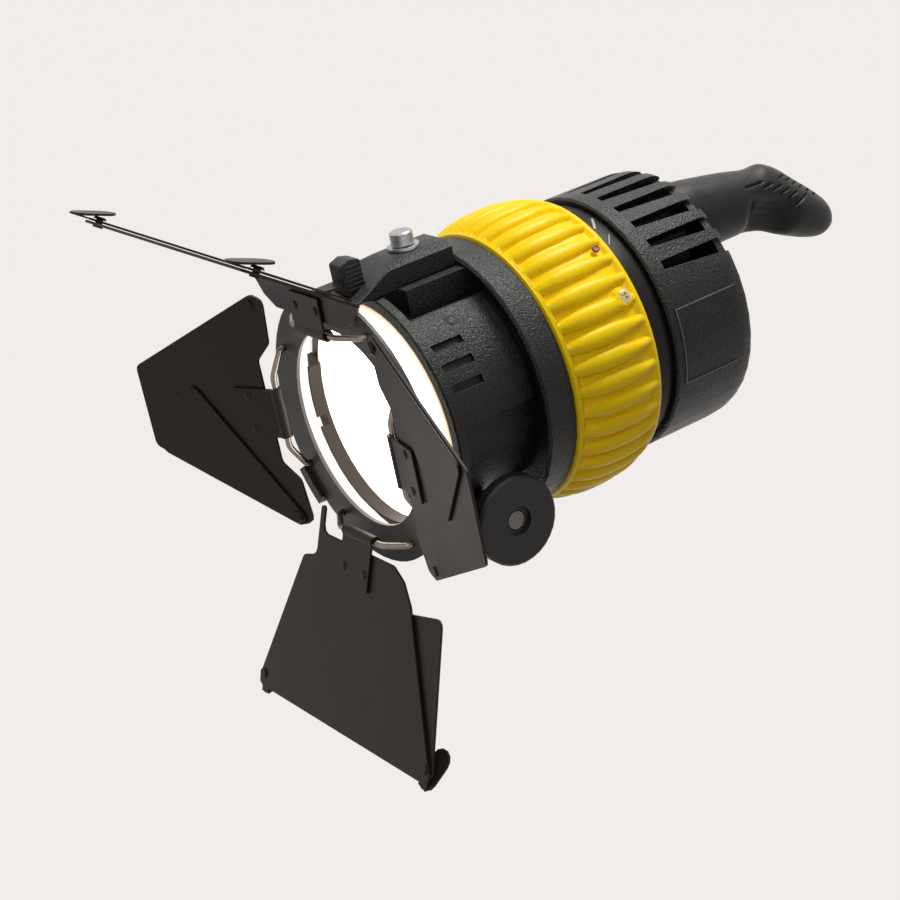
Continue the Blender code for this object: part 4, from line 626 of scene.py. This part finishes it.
def groove_tree():
    tree, given = new_tree(
        "pressed_grooves", "GeometryNodeTree",
        [("Geometry", "Geometry"), ("Centre", "Vector", LAMP), ("Ribs", "Float", RIBS),
         ("Depth", "Float", 0.0023), ("Outer radius", "Float", 0.052), ("Front", "Float", 0.0),
         ("Length", "Float", 0.04), ("Clear spot", "Vector", (0, 0, 0)), ("Finish", "Material")],
        [("Geometry", "Geometry")])

    def times(first, second):
        return calc(tree, "MULTIPLY", first, second)

    def fade(source, low, high, to_low, to_high):
        limits = {"From Min": low, "From Max": high, "To Min": to_low, "To Max": to_high}
        return add(tree, "ShaderNodeMapRange", {"Value": source, **limits},
                   interpolation_type="SMOOTHSTEP").outputs["Result"]

    position = add(tree, "GeometryNodeInputPosition").outputs["Position"]
    local = vector_calc(tree, "SUBTRACT", position, given["Centre"])["Vector"]
    parts = add(tree, "ShaderNodeSeparateXYZ", {"Vector": local}).outputs
    radial = add(tree, "ShaderNodeCombineXYZ", {"X": parts["X"], "Z": parts["Z"]}).outputs["Vector"]
    radius = vector_calc(tree, "LENGTH", radial)["Value"]
    share = calc(tree, "DIVIDE", calc(tree, "SUBTRACT", parts["Y"], given["Front"]), given["Length"])
    turns = calc(tree, "DIVIDE", calc(tree, "ARCTAN2", parts["Z"], parts["X"]), 2 * math.pi)
    pitches = times(turns, given["Ribs"])
    phase = calc(tree, "SUBTRACT", pitches, calc(tree, "ROUND", pitches))
    tips = times(fade(share, *FRONT_TIP), fade(share, *REAR_TIP))
    width = times(times(fade(share, *RIB_SWELLS), fade(share, *RIB_TAPERS)), tips)
    off = calc(tree, "DIVIDE", times(calc(tree, "ABSOLUTE", phase), 2.0), width)
    squared = calc(tree, "POWER", calc(tree, "MINIMUM", off, 1.0), 2.0)
    round_part = calc(tree, "POWER", calc(tree, "SUBTRACT", 1.0, squared), 0.5)
    valley = calc(tree, "SUBTRACT", 1.0, round_part)
    ends = times(fade(share, *VALLEY_STARTS), fade(share, *VALLEY_STOPS))
    outside = calc(tree, "GREATER_THAN", radius, given["Outer radius"])
    from_screw = vector_calc(tree, "DISTANCE", position, given["Clear spot"])["Value"]
    amount = times(times(valley, ends), times(outside, fade(from_screw, *SCREW_CLEARS)))
    inward = times(times(amount, given["Depth"]), -1.0)
    outward = vector_calc(tree, "NORMALIZE", radial)["Vector"]
    shift = add(tree, "ShaderNodeVectorMath", {0: outward, "Scale": inward}, operation="SCALE")
    press = add(tree, "GeometryNodeSetPosition",
                {"Geometry": given["Geometry"], "Offset": shift.outputs["Vector"]})
    painted_end(tree, press.outputs["Geometry"], given["Finish"])
    return tree


GROOVES = groove_tree()
print("tree", GROOVES.name)

# %% Focusing ring
RING_FRONT = 0.0624
RING_LENGTH = 0.0386
RING_CROWN = 0.0573
RING_EDGE = 0.0530
RING_BORE = 0.0479
CROWN_PLACE = 0.53
CROWN_POWER = 2.6
RING_ROWS = 80
STEPS_PER_RIB = 24
SCREW_AZIMUTH = 28.4
SCREW_Y = 0.093


def ring_radius(y):
    along = (y - RING_FRONT) / RING_LENGTH
    swell = 1 - abs(2 * along - 2 * CROWN_PLACE) ** CROWN_POWER
    return RING_EDGE + (RING_CROWN - RING_EDGE) * max(0.0, swell)


def ring_blank():
    """A smooth sleeve whose section is closed: up the front face, over the crown, and back inside."""
    back = RING_FRONT + RING_LENGTH
    rows = [(RING_BORE, RING_FRONT), (RING_EDGE - 0.0012, RING_FRONT),
            (RING_EDGE - 0.0004, RING_FRONT + 0.0002)]
    for i in range(1, RING_ROWS):
        y = RING_FRONT + RING_LENGTH * i / RING_ROWS
        rows.append((ring_radius(y), y))
    rows += [(RING_EDGE - 0.0006, back - 0.0001), (RING_EDGE - 0.0014, back), (RING_BORE, back)]
    steps = RIBS * STEPS_PER_RIB
    grid = [[around(360.0 * k / steps, radius, y) for k in range(steps)] for radius, y in rows]
    return grid_mesh("ring_blank", grid, close_rows=True)


screw_spot = around(SCREW_AZIMUTH, ring_radius(SCREW_Y), SCREW_Y)
focus_sleeve = grown("focus_sleeve", ring_blank(), GROOVES,
                     {"Front": RING_FRONT, "Length": RING_LENGTH, "Clear spot": screw_spot}, RING_YELLOW)
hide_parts("focus_ring")
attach(focus_sleeve, "focus_ring")

# %% [markdown]
# ## The small screw and the plug in the ring
#
# A pale cross-head screw clamps the ring to the sleeve, and a dark red plug closes the hole beside it.
# The head is turned with a rounded edge, and its cross is cut with an exact boolean.

# %% Ring screw and plug
SCREW_HEAD = [(0.0, 0.0), (0.0027, 0.0), (0.0027, 0.0019), (0.0025, 0.0023), (0.0019, 0.0025),
              (0.0, 0.0026)]
SCREW_SUNK = 0.0022
CROSS_LIFT = 0.0005
CROSS_SIZE = (0.0032, 0.0008, 0.0020)
PLUG_AZIMUTH = 49.8
PLUG_Y = 0.094
PLUG = [(0.0, -0.0008), (0.0014, -0.0008), (0.0014, 0.00012), (0.0011, 0.00018), (0.0009, -0.0001),
        (0.0, -0.0001)]


def azimuth_axis(azimuth):
    return around(azimuth, 1.0, 0.0) - LAMP


def cross_cut(obj, centre, axis, size):
    """Cut a cross-shaped recess into a screw head, one arm after the other."""
    toward, side, other = axis_frame(axis)
    for first in (side, other):
        turn = Matrix((first, toward.cross(first), toward)).transposed().to_4x4()
        turn.translation = centre
        shape = bmesh.new()
        bmesh.ops.create_cube(shape, size=1, matrix=turn @ Matrix.Diagonal((*size, 1)))
        mesh = bpy.data.meshes.new("cross_arm")
        shape.to_mesh(mesh)
        shape.free()
        cut = obj.modifiers.new("cross", "BOOLEAN")
        cut.operation = "DIFFERENCE"
        cut.solver = "EXACT"
        cut.object = new_object("cross_arm", mesh)
        result = baked(obj)
        bpy.data.objects.remove(cut.object)
        obj.modifiers.clear()
        obj.data = result


screw_axis = azimuth_axis(SCREW_AZIMUTH)
screw_foot = screw_spot - screw_axis * SCREW_SUNK
ring_screw = turned("ring_cross_screw", SCREW_HEAD, 32, screw_foot, screw_axis, ZINC)
cross_cut(ring_screw, screw_spot + screw_axis * CROSS_LIFT, screw_axis, CROSS_SIZE)
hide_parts("focus_ring_screw")
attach(ring_screw, "focus_ring")
plug_spot = around(PLUG_AZIMUTH, ring_radius(PLUG_Y), PLUG_Y)
ring_plug = turned("ring_plug", PLUG, 24, plug_spot, azimuth_axis(PLUG_AZIMUTH), HOLE_RED)
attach(ring_plug, "focus_ring")
print("ring screw at", tuple(round(c, 4) for c in screw_spot))

# %% [markdown]
# ## The front lens
#
# The solid lens is turned in few steps. Seen lit, its outline against the dark rim must be a clean
# circle, so a finer copy with the same sizes stands in for it: a flat back, a straight edge and a low
# dome at the front.

# %% Front lens
LENS_EDGE_Y = 0.0133
LENS_BACK_Y = 0.0158
LENS_BULGE = 0.006
DOME_STEPS = 24
profile = [(0.0, LENS_BACK_Y), (LENS_RADIUS, LENS_BACK_Y)]
for i in range(DOME_STEPS + 1):
    share = 1 - i / DOME_STEPS
    profile.append((LENS_RADIUS * share, LENS_EDGE_Y - LENS_BULGE * (1 - share ** 2)))
bright_lens = turned("bright_lens", profile, 128, LAMP, (0, 1, 0), LIT_LENS)
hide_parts("front_lens")
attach(bright_lens, "head")
print("lens", len(bright_lens.data.vertices))

# %% [markdown]
# ## The hinge wires
#
# Each leaf swings on a bent steel wire whose ends go through the ring. The wire is a curve with a round
# bevel. Its corners are rounded with a small arc first, as a bending tool leaves them, and the curve is
# then made a mesh.

# %% Hinge wires
SIDES = {"top": 90.0, "left": 180.0, "bottom": -90.0, "right": 0.0}
HINGE_RADIUS = 0.0409
HINGE_Y = -0.0073
WIRE_RADIUS = 0.0012
WIRE_BEND = 0.0016
WIRE_FEET = 0.024
FEET_RADIUS = 0.0472
# Each corner is so far along the hinge and so far forward, from the hinge's middle or from the foot.
HINGE_CORNERS = ((0.014, 0.0), (0.0162, -0.001))
FOOT_CORNERS = ((-0.0008, 0.0022), (0.0, 0.0005), (0.0, -0.0015))


def hinge_axes(side):
    """The middle of a leaf's hinge, and unit vectors along it, outwards and forwards."""
    outward = azimuth_axis(SIDES[side])
    forward = Vector((0, -1, 0))
    middle = LAMP + outward * HINGE_RADIUS + Vector((0, HINGE_Y, 0))
    return middle, outward.cross(forward), outward, forward


def rounded_run(points, radius, count=5, most=0.45):
    """The same run with an arc at each inner corner, which takes at most a share of each side."""
    run = [points[0]]
    for before, here, after in zip(points, points[1:], points[2:]):
        first = before - here
        last = after - here
        reach = min(radius, first.length * most, last.length * most)
        start = here + first.normalized() * reach
        end = here + last.normalized() * reach
        for i in range(count + 1):
            t = i / count
            run.append(start * (1 - t) ** 2 + here * 2 * t * (1 - t) + end * t ** 2)
    return run + [points[-1]]


def tube(name, points, radius, look):
    curve = bpy.data.curves.new(name, "CURVE")
    curve.dimensions = "3D"
    curve.bevel_depth = radius
    curve.bevel_resolution = 5
    curve.use_fill_caps = True
    spline = curve.splines.new("POLY")
    spline.points.add(len(points) - 1)
    for knot, point in zip(spline.points, points):
        knot.co = (*point, 1)
    holder = new_object(f"{name}_path", curve)
    mesh = baked(holder)
    bpy.data.objects.remove(holder)
    return piece(name, mend(mesh, merge=0.000005), look)


for side in SIDES:
    middle, along, outward, forward = hinge_axes(side)
    foot = LAMP + along * WIRE_FEET + outward * math.sqrt(FEET_RADIUS ** 2 - WIRE_FEET ** 2)
    half = [middle + along * a + forward * f for a, f in HINGE_CORNERS]
    half += [foot + along * a + forward * f for a, f in FOOT_CORNERS]
    other = [point - along * 2 * (point - LAMP).dot(along) for point in half]
    path = rounded_run([*reversed(other), *half], WIRE_BEND)
    wire = tube(f"bent_wire_{side}", path, WIRE_RADIUS, WIRE_STEEL)
    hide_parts(f"hinge_wire_{side}")
    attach(wire, "barndoor")
print("wires", len(SIDES))

# %% [markdown]
# ## Rivets and marks on the leaves
#
# A clip of sheet is riveted to each leaf and curls round its wire. The rivets are low domes, grown on
# points by the detail tree, and two flatter ones mark the left leaf. A leaf's own axes run along its
# hinge, out along the sheet, and towards the beam, so a rivet is placed as on a drawing of the flat
# sheet.

# %% Leaf rivets
OPENING = {"top": 91.3, "bottom": 68.8, "left": 66.1, "right": 79.5}
CLIP_RIVETS = {"top": 0.0092, "left": 0.0131, "bottom": 0.0131, "right": 0.0131}
RIVET_SPREAD = 0.0070
RIVET_SIZE = (0.0017, 0.0007)
DIMPLES = {"left": [(0.0057, 0.0493), (-0.0107, 0.0556)]}
DIMPLE_SIZE = (0.0013, 0.00025)
CLIP_FACE = 0.0016
SHEET_FACE = 0.0005


def leaf_place(side):
    middle, along, outward, forward = hinge_axes(side)
    opening = math.radians(OPENING[side])
    down = forward * math.cos(opening) + outward * math.sin(opening)
    place = Matrix((along, down, along.cross(down))).transposed().to_4x4()
    place.translation = middle
    return place


def leaf_domes(name, side, spots, face, size):
    """Domes on the beam's side of a leaf, at places along its hinge and out along its sheet."""
    place = leaf_place(side)
    turn = place.to_3x3()
    points = [(place @ Vector((u, v, face)), turn @ Vector((0, 0, 1)), turn @ Vector((1, 0, 0)))
              for u, v in spots]
    domes = grown(name, detail_points(points), DETAILS,
                  {"Dome radius": size[0], "Dome height": size[1], "Use domes": True}, SHEET_BLACK)
    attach(domes, f"leaf_{side}")


for side, v in CLIP_RIVETS.items():
    leaf_domes(f"clip_rivets_{side}", side, [(-RIVET_SPREAD, v), (RIVET_SPREAD, v)], CLIP_FACE, RIVET_SIZE)
    if side in DIMPLES:
        leaf_domes(f"leaf_dimples_{side}", side, DIMPLES[side], SHEET_FACE, DIMPLE_SIZE)

# %% [markdown]
# ## Knurls on the screws and ribs on the latch
#
# The arm's screw has a knurled head, the stand's thumb screw has a coarser one, and the latch knob has
# ribs on both sides for the fingertips. All are bars on rows of points, turned outwards by the same
# tree.

# %% Knurls and ribs
ARM_SCREW_HEAD = lamp(0, 0.036, 0.06155)
THUMB_SCREW_HEAD = Vector((-0.0214, 0, 0.015))
LATCH_SIDE = 0.0040
LATCH_LOW = 0.0512
RIB_PITCH = 0.0017


def ring_spots(centre, axis, radius, count):
    toward = Vector(axis).normalized()
    return [(Vector(centre) + out * radius, out, toward) for out in circle(axis, count)]


def bars(name, spots, size, look, body):
    """Bars on points. A bar's size is its length along the row, its width and its height."""
    made = grown(name, detail_points(spots), DETAILS, {"Bar size": size}, look, crease=0)
    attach(made, body)


bars("arm_screw_knurl", ring_spots(ARM_SCREW_HEAD, (0, 0, 1), 0.0040, 26),
     (0.0042, 0.0005, 0.0005), ZINC, "head")
bars("thumb_screw_knurl", ring_spots(THUMB_SCREW_HEAD, (1, 0, 0), 0.0075, 36),
     (0.0058, 0.0006, 0.0006), STEEL, "spigot_screw")
latch_spots = [(lamp(side * LATCH_SIDE, 0.01125, LATCH_LOW + RIB_PITCH * k), Vector((side, 0, 0)),
                Vector((0, 1, 0))) for side in (-1, 1) for k in range(6)]
bars("latch_ribs", latch_spots, (0.0070, 0.0008, 0.0008), KNOB_PLASTIC, "latch")

# %% [markdown]
# ## The rear grip
#
# The handle leaves the rear cover as an oval bar, swells into a low hump where the hand ends, is pinched
# on both sides for thumb and finger, and closes in a round bulb. Short slanted dashes are pressed into
# its top, so that it doesn't slip. It is a grid of sections along a smooth path. Each point's radius is
# then changed by the hump, the pinch and the dashes, which is simple because all of them depend only on
# the share of the length and on the angle about the path.

# %% Grip sections
GRIP_ROOT = lamp(0, 0.1489, 0.0265)
GRIP_REACH = 0.088
GRIP_DROP = 0.0265
GRIP_HALF_HEIGHT = 0.0155
GRIP_HALF_WIDTH = 0.0135
# Each row has a share of the reach, a share of the drop and the scale of the section there.
GRIP_CURVE = [(0, 0, 1), (0.05, 0, 0.995), (0.10, 0, 0.985), (0.19, 0.02, 0.97), (0.43, 0.09, 0.85),
              (0.60, 0.25, 0.81), (0.75, 0.49, 0.735), (0.875, 0.736, 0.62), (0.955, 0.906, 0.45),
              (1, 1, 0.19)]
GRIP_STEPS = 208
# The hump and the belly have a place, a width before it and a width after it, as shares of the reach.
HUMP_HEIGHT = 0.0030
HUMP = (0.59, 0.055, 0.13)
BELLY_DEPTH = 0.0011
BELLY = (0.62, 0.12, 0.10)
PINCH_DEPTH = 0.0068
PINCH_PLACE = 0.60
PINCH_WIDTH = 0.120
FLANK_MIDDLE = -26
FLANK_HALF = 44


def smooth_run(points, count):
    """A smooth curve through the given points, with a number of steps between each two."""
    given = [Vector(point) for point in points]
    run = []
    for i in range(len(given) - 1):
        here = given[i]
        there = given[i + 1]
        leave = (there - given[max(i - 1, 0)]) / 2
        arrive = (given[min(i + 2, len(given) - 1)] - here) / 2
        for k in range(count):
            t = k / count
            run.append(here * (2 * t ** 3 - 3 * t ** 2 + 1) + leave * (t ** 3 - 2 * t ** 2 + t)
                       + there * (3 * t ** 2 - 2 * t ** 3) + arrive * (t ** 3 - t ** 2))
    return run + [given[-1]]


def bell(value, centre, before, after):
    """A smooth hill with one width on each side of its centre."""
    width = before if value < centre else after
    return math.exp(-((value - centre) / width) ** 2)


def grip_relief(back, high, degrees):
    """How far the hump stands out, less the pinch on the sides and the hollow of the belly."""
    hump = HUMP_HEIGHT * bell(back, *HUMP) * max(0.0, high) ** 3
    flank = abs(degrees - FLANK_MIDDLE) / FLANK_HALF
    pinch = PINCH_DEPTH * math.exp(-((back - PINCH_PLACE) / PINCH_WIDTH) ** 4) * math.exp(-flank ** 4)
    belly = BELLY_DEPTH * bell(back, *BELLY) * max(0.0, -high) ** 4
    return hump - (pinch + belly)


# %% Grip dashes
DASH_WIDTH = 0.0013
DASH_DEPTH = 0.0011
# Each dash has a share of the grip's reach, an angle up its side in degrees, and a length.
DASHES = [(0.640 + 0.041 * k, 59, 0.0040) for k in range(6)]
DASHES += [(0.560 + 0.048 * k, 38 - 2.5 * k, 0.0042) for k in range(4)]
DASHES += [(0.490, 41, 0.0085), (0.756, 26, 0.0076)]
# Only points this near to a dash are tested, in share of the reach and in degrees.
DASH_REACH = 0.070
DASH_SPREAD = 24
# The path bends down, so it is longer than its reach.
PATH_STRETCH = 1.12
print("dashes each side", len(DASHES))


def dash_slant(share):
    """The dashes stand more across the grip towards its end."""
    return math.radians(min(45, 12 + 125 * (share - 0.49)))


def dash_depth(arc_along, arc_around, length, slant):
    """How deep a dash is at a distance from its centre along and around the grip."""
    run = arc_along * math.cos(slant) + arc_around * math.sin(slant)
    off = -arc_along * math.sin(slant) + arc_around * math.cos(slant)
    past = max(0.0, abs(run) - length / 2)
    far = math.hypot(past, off) / (DASH_WIDTH / 2)
    return DASH_DEPTH * max(0.0, 1 - far ** 2)


def grip_mesh():
    run = smooth_run(GRIP_CURVE, 30)
    path = [GRIP_ROOT + Vector((0, GRIP_REACH * back, -GRIP_DROP * drop)) for back, drop, scale in run]
    sideways = Vector((1, 0, 0))
    rows = []
    for i, (back, drop, scale) in enumerate(run):
        toward = (path[min(i + 1, len(path) - 1)] - path[max(i - 1, 0)]).normalized()
        rise = sideways.cross(toward)
        row = []
        for k in range(GRIP_STEPS):
            angle = 2 * math.pi * k / GRIP_STEPS
            high = math.sin(angle)
            wide = math.cos(angle)
            out = sideways * wide * GRIP_HALF_WIDTH * scale + rise * high * GRIP_HALF_HEIGHT * scale
            degrees = math.degrees(math.atan2(high, abs(wide)))
            grow = grip_relief(back, high, degrees)
            for share, at, length in DASHES:
                if abs(share - back) < DASH_REACH and abs(at - degrees) < DASH_SPREAD:
                    arc_along = (back - share) * GRIP_REACH * PATH_STRETCH
                    arc_around = math.radians(degrees - at) * out.length
                    grow -= dash_depth(arc_along, arc_around, length, dash_slant(share))
            row.append(path[i] + out + out.normalized() * grow)
        rows.append(row)
    return grid_mesh("rear_grip", rows, caps=True)


rear_grip = piece("rear_grip", grip_mesh(), GRIP_PLASTIC)
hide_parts("handle")
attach(rear_grip, "head")
print("grip", len(rear_grip.data.vertices), "points")

# %% [markdown]
# ## Marks on the body
#
# Two short white index lines stand on the neck behind the ring, a thin raised frame on the rear housing
# marks where a rating plate goes, and a small sunk screw holds the near pod. The frame's pale grey is a
# painted highlight, for the light that catches its edges. The lines and the frame are strips that follow
# the round body, closed on all sides and at most a quarter of a millimetre high.

# %% Curved strips
STRIP_SUNK = 0.0003
NECK_RADIUS = 0.050
NECK_FALL = 0.0006
NECK_MIDDLE_Y = 0.10605
NECK_HALF_LENGTH = 0.00475
REAR_RADIUS = 0.0514
CORNER_Y = 0.1411
CORNER_FALL = 0.0003
INDEX_HEIGHT = 0.00012
FRAME_HEIGHT = 0.00022
POD_AZIMUTH = 53.0
POD_SCREW = [(0.0, -0.0006), (0.0022, -0.0006), (0.0022, 0.00012), (0.0018, 0.00022), (0.0013, -0.0001),
             (0.0, -0.0002)]


def strip(name, centre_line, half_width, base, height, look):
    """A closed strip over (azimuth, y) points, lying on a radius that is given for each y."""
    rows = []
    for i, (azimuth, y) in enumerate(centre_line):
        before = centre_line[max(i - 1, 0)]
        after = centre_line[min(i + 1, len(centre_line) - 1)]
        radius = base(y)
        step = Vector((math.radians(after[0] - before[0]) * radius, after[1] - before[1])).normalized()
        side = Vector((-step.y, step.x)) * half_width
        row = []
        for sign, lift in ((1, -STRIP_SUNK), (1, height), (-1, height), (-1, -STRIP_SUNK)):
            turn = azimuth + math.degrees(sign * side.x / radius)
            row.append(around(turn, radius + lift, y + sign * side.y))
        rows.append(row)
    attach(piece(name, grid_mesh(name, rows, caps=True), look, crease=0), "head")


def neck_radius(y):
    """The neck is widest at the middle of its length and falls a little towards both ends."""
    return NECK_RADIUS - NECK_FALL * abs(y - NECK_MIDDLE_Y) / NECK_HALF_LENGTH


def rear_radius(y):
    """The rear housing is straight up to where its back corner begins to round."""
    return REAR_RADIUS if y < CORNER_Y else REAR_RADIUS - CORNER_FALL


def straight(first, last, count):
    return [tuple(a + (b - a) * i / count for a, b in zip(first, last)) for i in range(count + 1)]


strip("index_line_upper", straight((70.3, 0.1082), (63.6, 0.1049), 10), 0.00050, neck_radius,
      INDEX_HEIGHT, MARK_WHITE)
strip("index_line_lower", straight((58.0, 0.1077), (52.9, 0.1045), 10), 0.00026, neck_radius,
      INDEX_HEIGHT, MARK_WHITE)
frame_line = straight((15.3, 0.144), (15.3, 0.1155), 12)
frame_line += straight((15.3, 0.1150), (-18.0, 0.1150), 40)
frame_line += straight((-18.0, 0.1155), (-18.0, 0.144), 12)
# Pale grey strip: a painted highlight along the frame's edges.
strip("plate_frame", frame_line, 0.00028, rear_radius, FRAME_HEIGHT, FRAME_HIGHLIGHT)
pod_spot = around(POD_AZIMUTH, 0.0440, 0.034)
pod_screw = turned("pod_screw", POD_SCREW, 28, pod_spot, azimuth_axis(POD_AZIMUTH), KNOB_PLASTIC)
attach(pod_screw, "head")
print("marks made")

# %% [markdown]
# ## Floor, background and light
#
# The photograph has a plain pale background with no edge. The floor and the world show that colour to
# the camera and in gloss and glass, and a small share of the floor's own shading keeps the object's soft
# shadow. The object is lit by a large soft lamp above and behind it, which gives the black surfaces
# their pale sheen, by a weaker one from the camera's side, and by its own lens.

# %% Studio
BACKDROP = (0.905, 0.871, 0.847, 1)
DAYLIGHT = (0.97, 0.98, 1.0, 1)
FLOOR_COLOUR = (0.45, 0.43, 0.42)
FLOOR_Z = -0.45
GLOW_SHARE = 0.96
AIM = Vector((0.06, 0.02, 0.07))


def backdrop_light(tree, soft, show):
    """Mix the soft light that things receive with the colour that camera, gloss and glass see."""
    path = add(tree, "ShaderNodeLightPath").outputs
    seen = path["Is Camera Ray"]
    for ray in ("Is Glossy Ray", "Is Transmission Ray"):
        seen = calc(tree, "MAXIMUM", seen, path[ray])
    return add(tree, "ShaderNodeMixShader", {"Fac": seen, 1: soft, 2: show}).outputs["Shader"]


world = bpy.data.worlds.new("studio_world")
bpy.context.scene.world = world
world.use_nodes = True
tree = world.node_tree
tree.nodes.clear()
soft = add(tree, "ShaderNodeBackground", {"Color": DAYLIGHT, "Strength": 0.30}).outputs["Background"]
show = add(tree, "ShaderNodeBackground", {"Color": BACKDROP, "Strength": 1.0}).outputs["Background"]
add(tree, "ShaderNodeOutputWorld", {"Surface": backdrop_light(tree, soft, show)})

bpy.ops.mesh.primitive_plane_add(size=40.0, location=(0, 0, FLOOR_Z))
floor = bpy.context.object
floor.name = "studio_floor"
floor_look, tree, shader = finish_start("studio_floor", FLOOR_COLOUR, 0.9)[:3]
own = shader.outputs["BSDF"]
glow = add(tree, "ShaderNodeEmission", {"Color": BACKDROP, "Strength": 1.0}).outputs["Emission"]
faint = add(tree, "ShaderNodeMixShader", {"Fac": GLOW_SHARE, 1: own, 2: glow}).outputs["Shader"]
tree.links.new(backdrop_light(tree, own, faint), tree.nodes["Material Output"].inputs["Surface"])
floor.data.materials.append(floor_look)


def soft_lamp(name, spot, size, watts):
    data = bpy.data.lights.new(name, "AREA")
    data.shape = "SQUARE"
    data.size = size
    data.energy = watts
    obj = new_object(name, data)
    obj.location = spot
    obj.rotation_euler = (AIM - Vector(spot)).to_track_quat("-Z", "Y").to_euler()


soft_lamp("top_softbox", (0.12, 0.48, 0.92), 0.42, 9.6)
soft_lamp("camera_fill", (0.75, -0.55, 0.85), 0.7, 2.3)
print("studio ready")
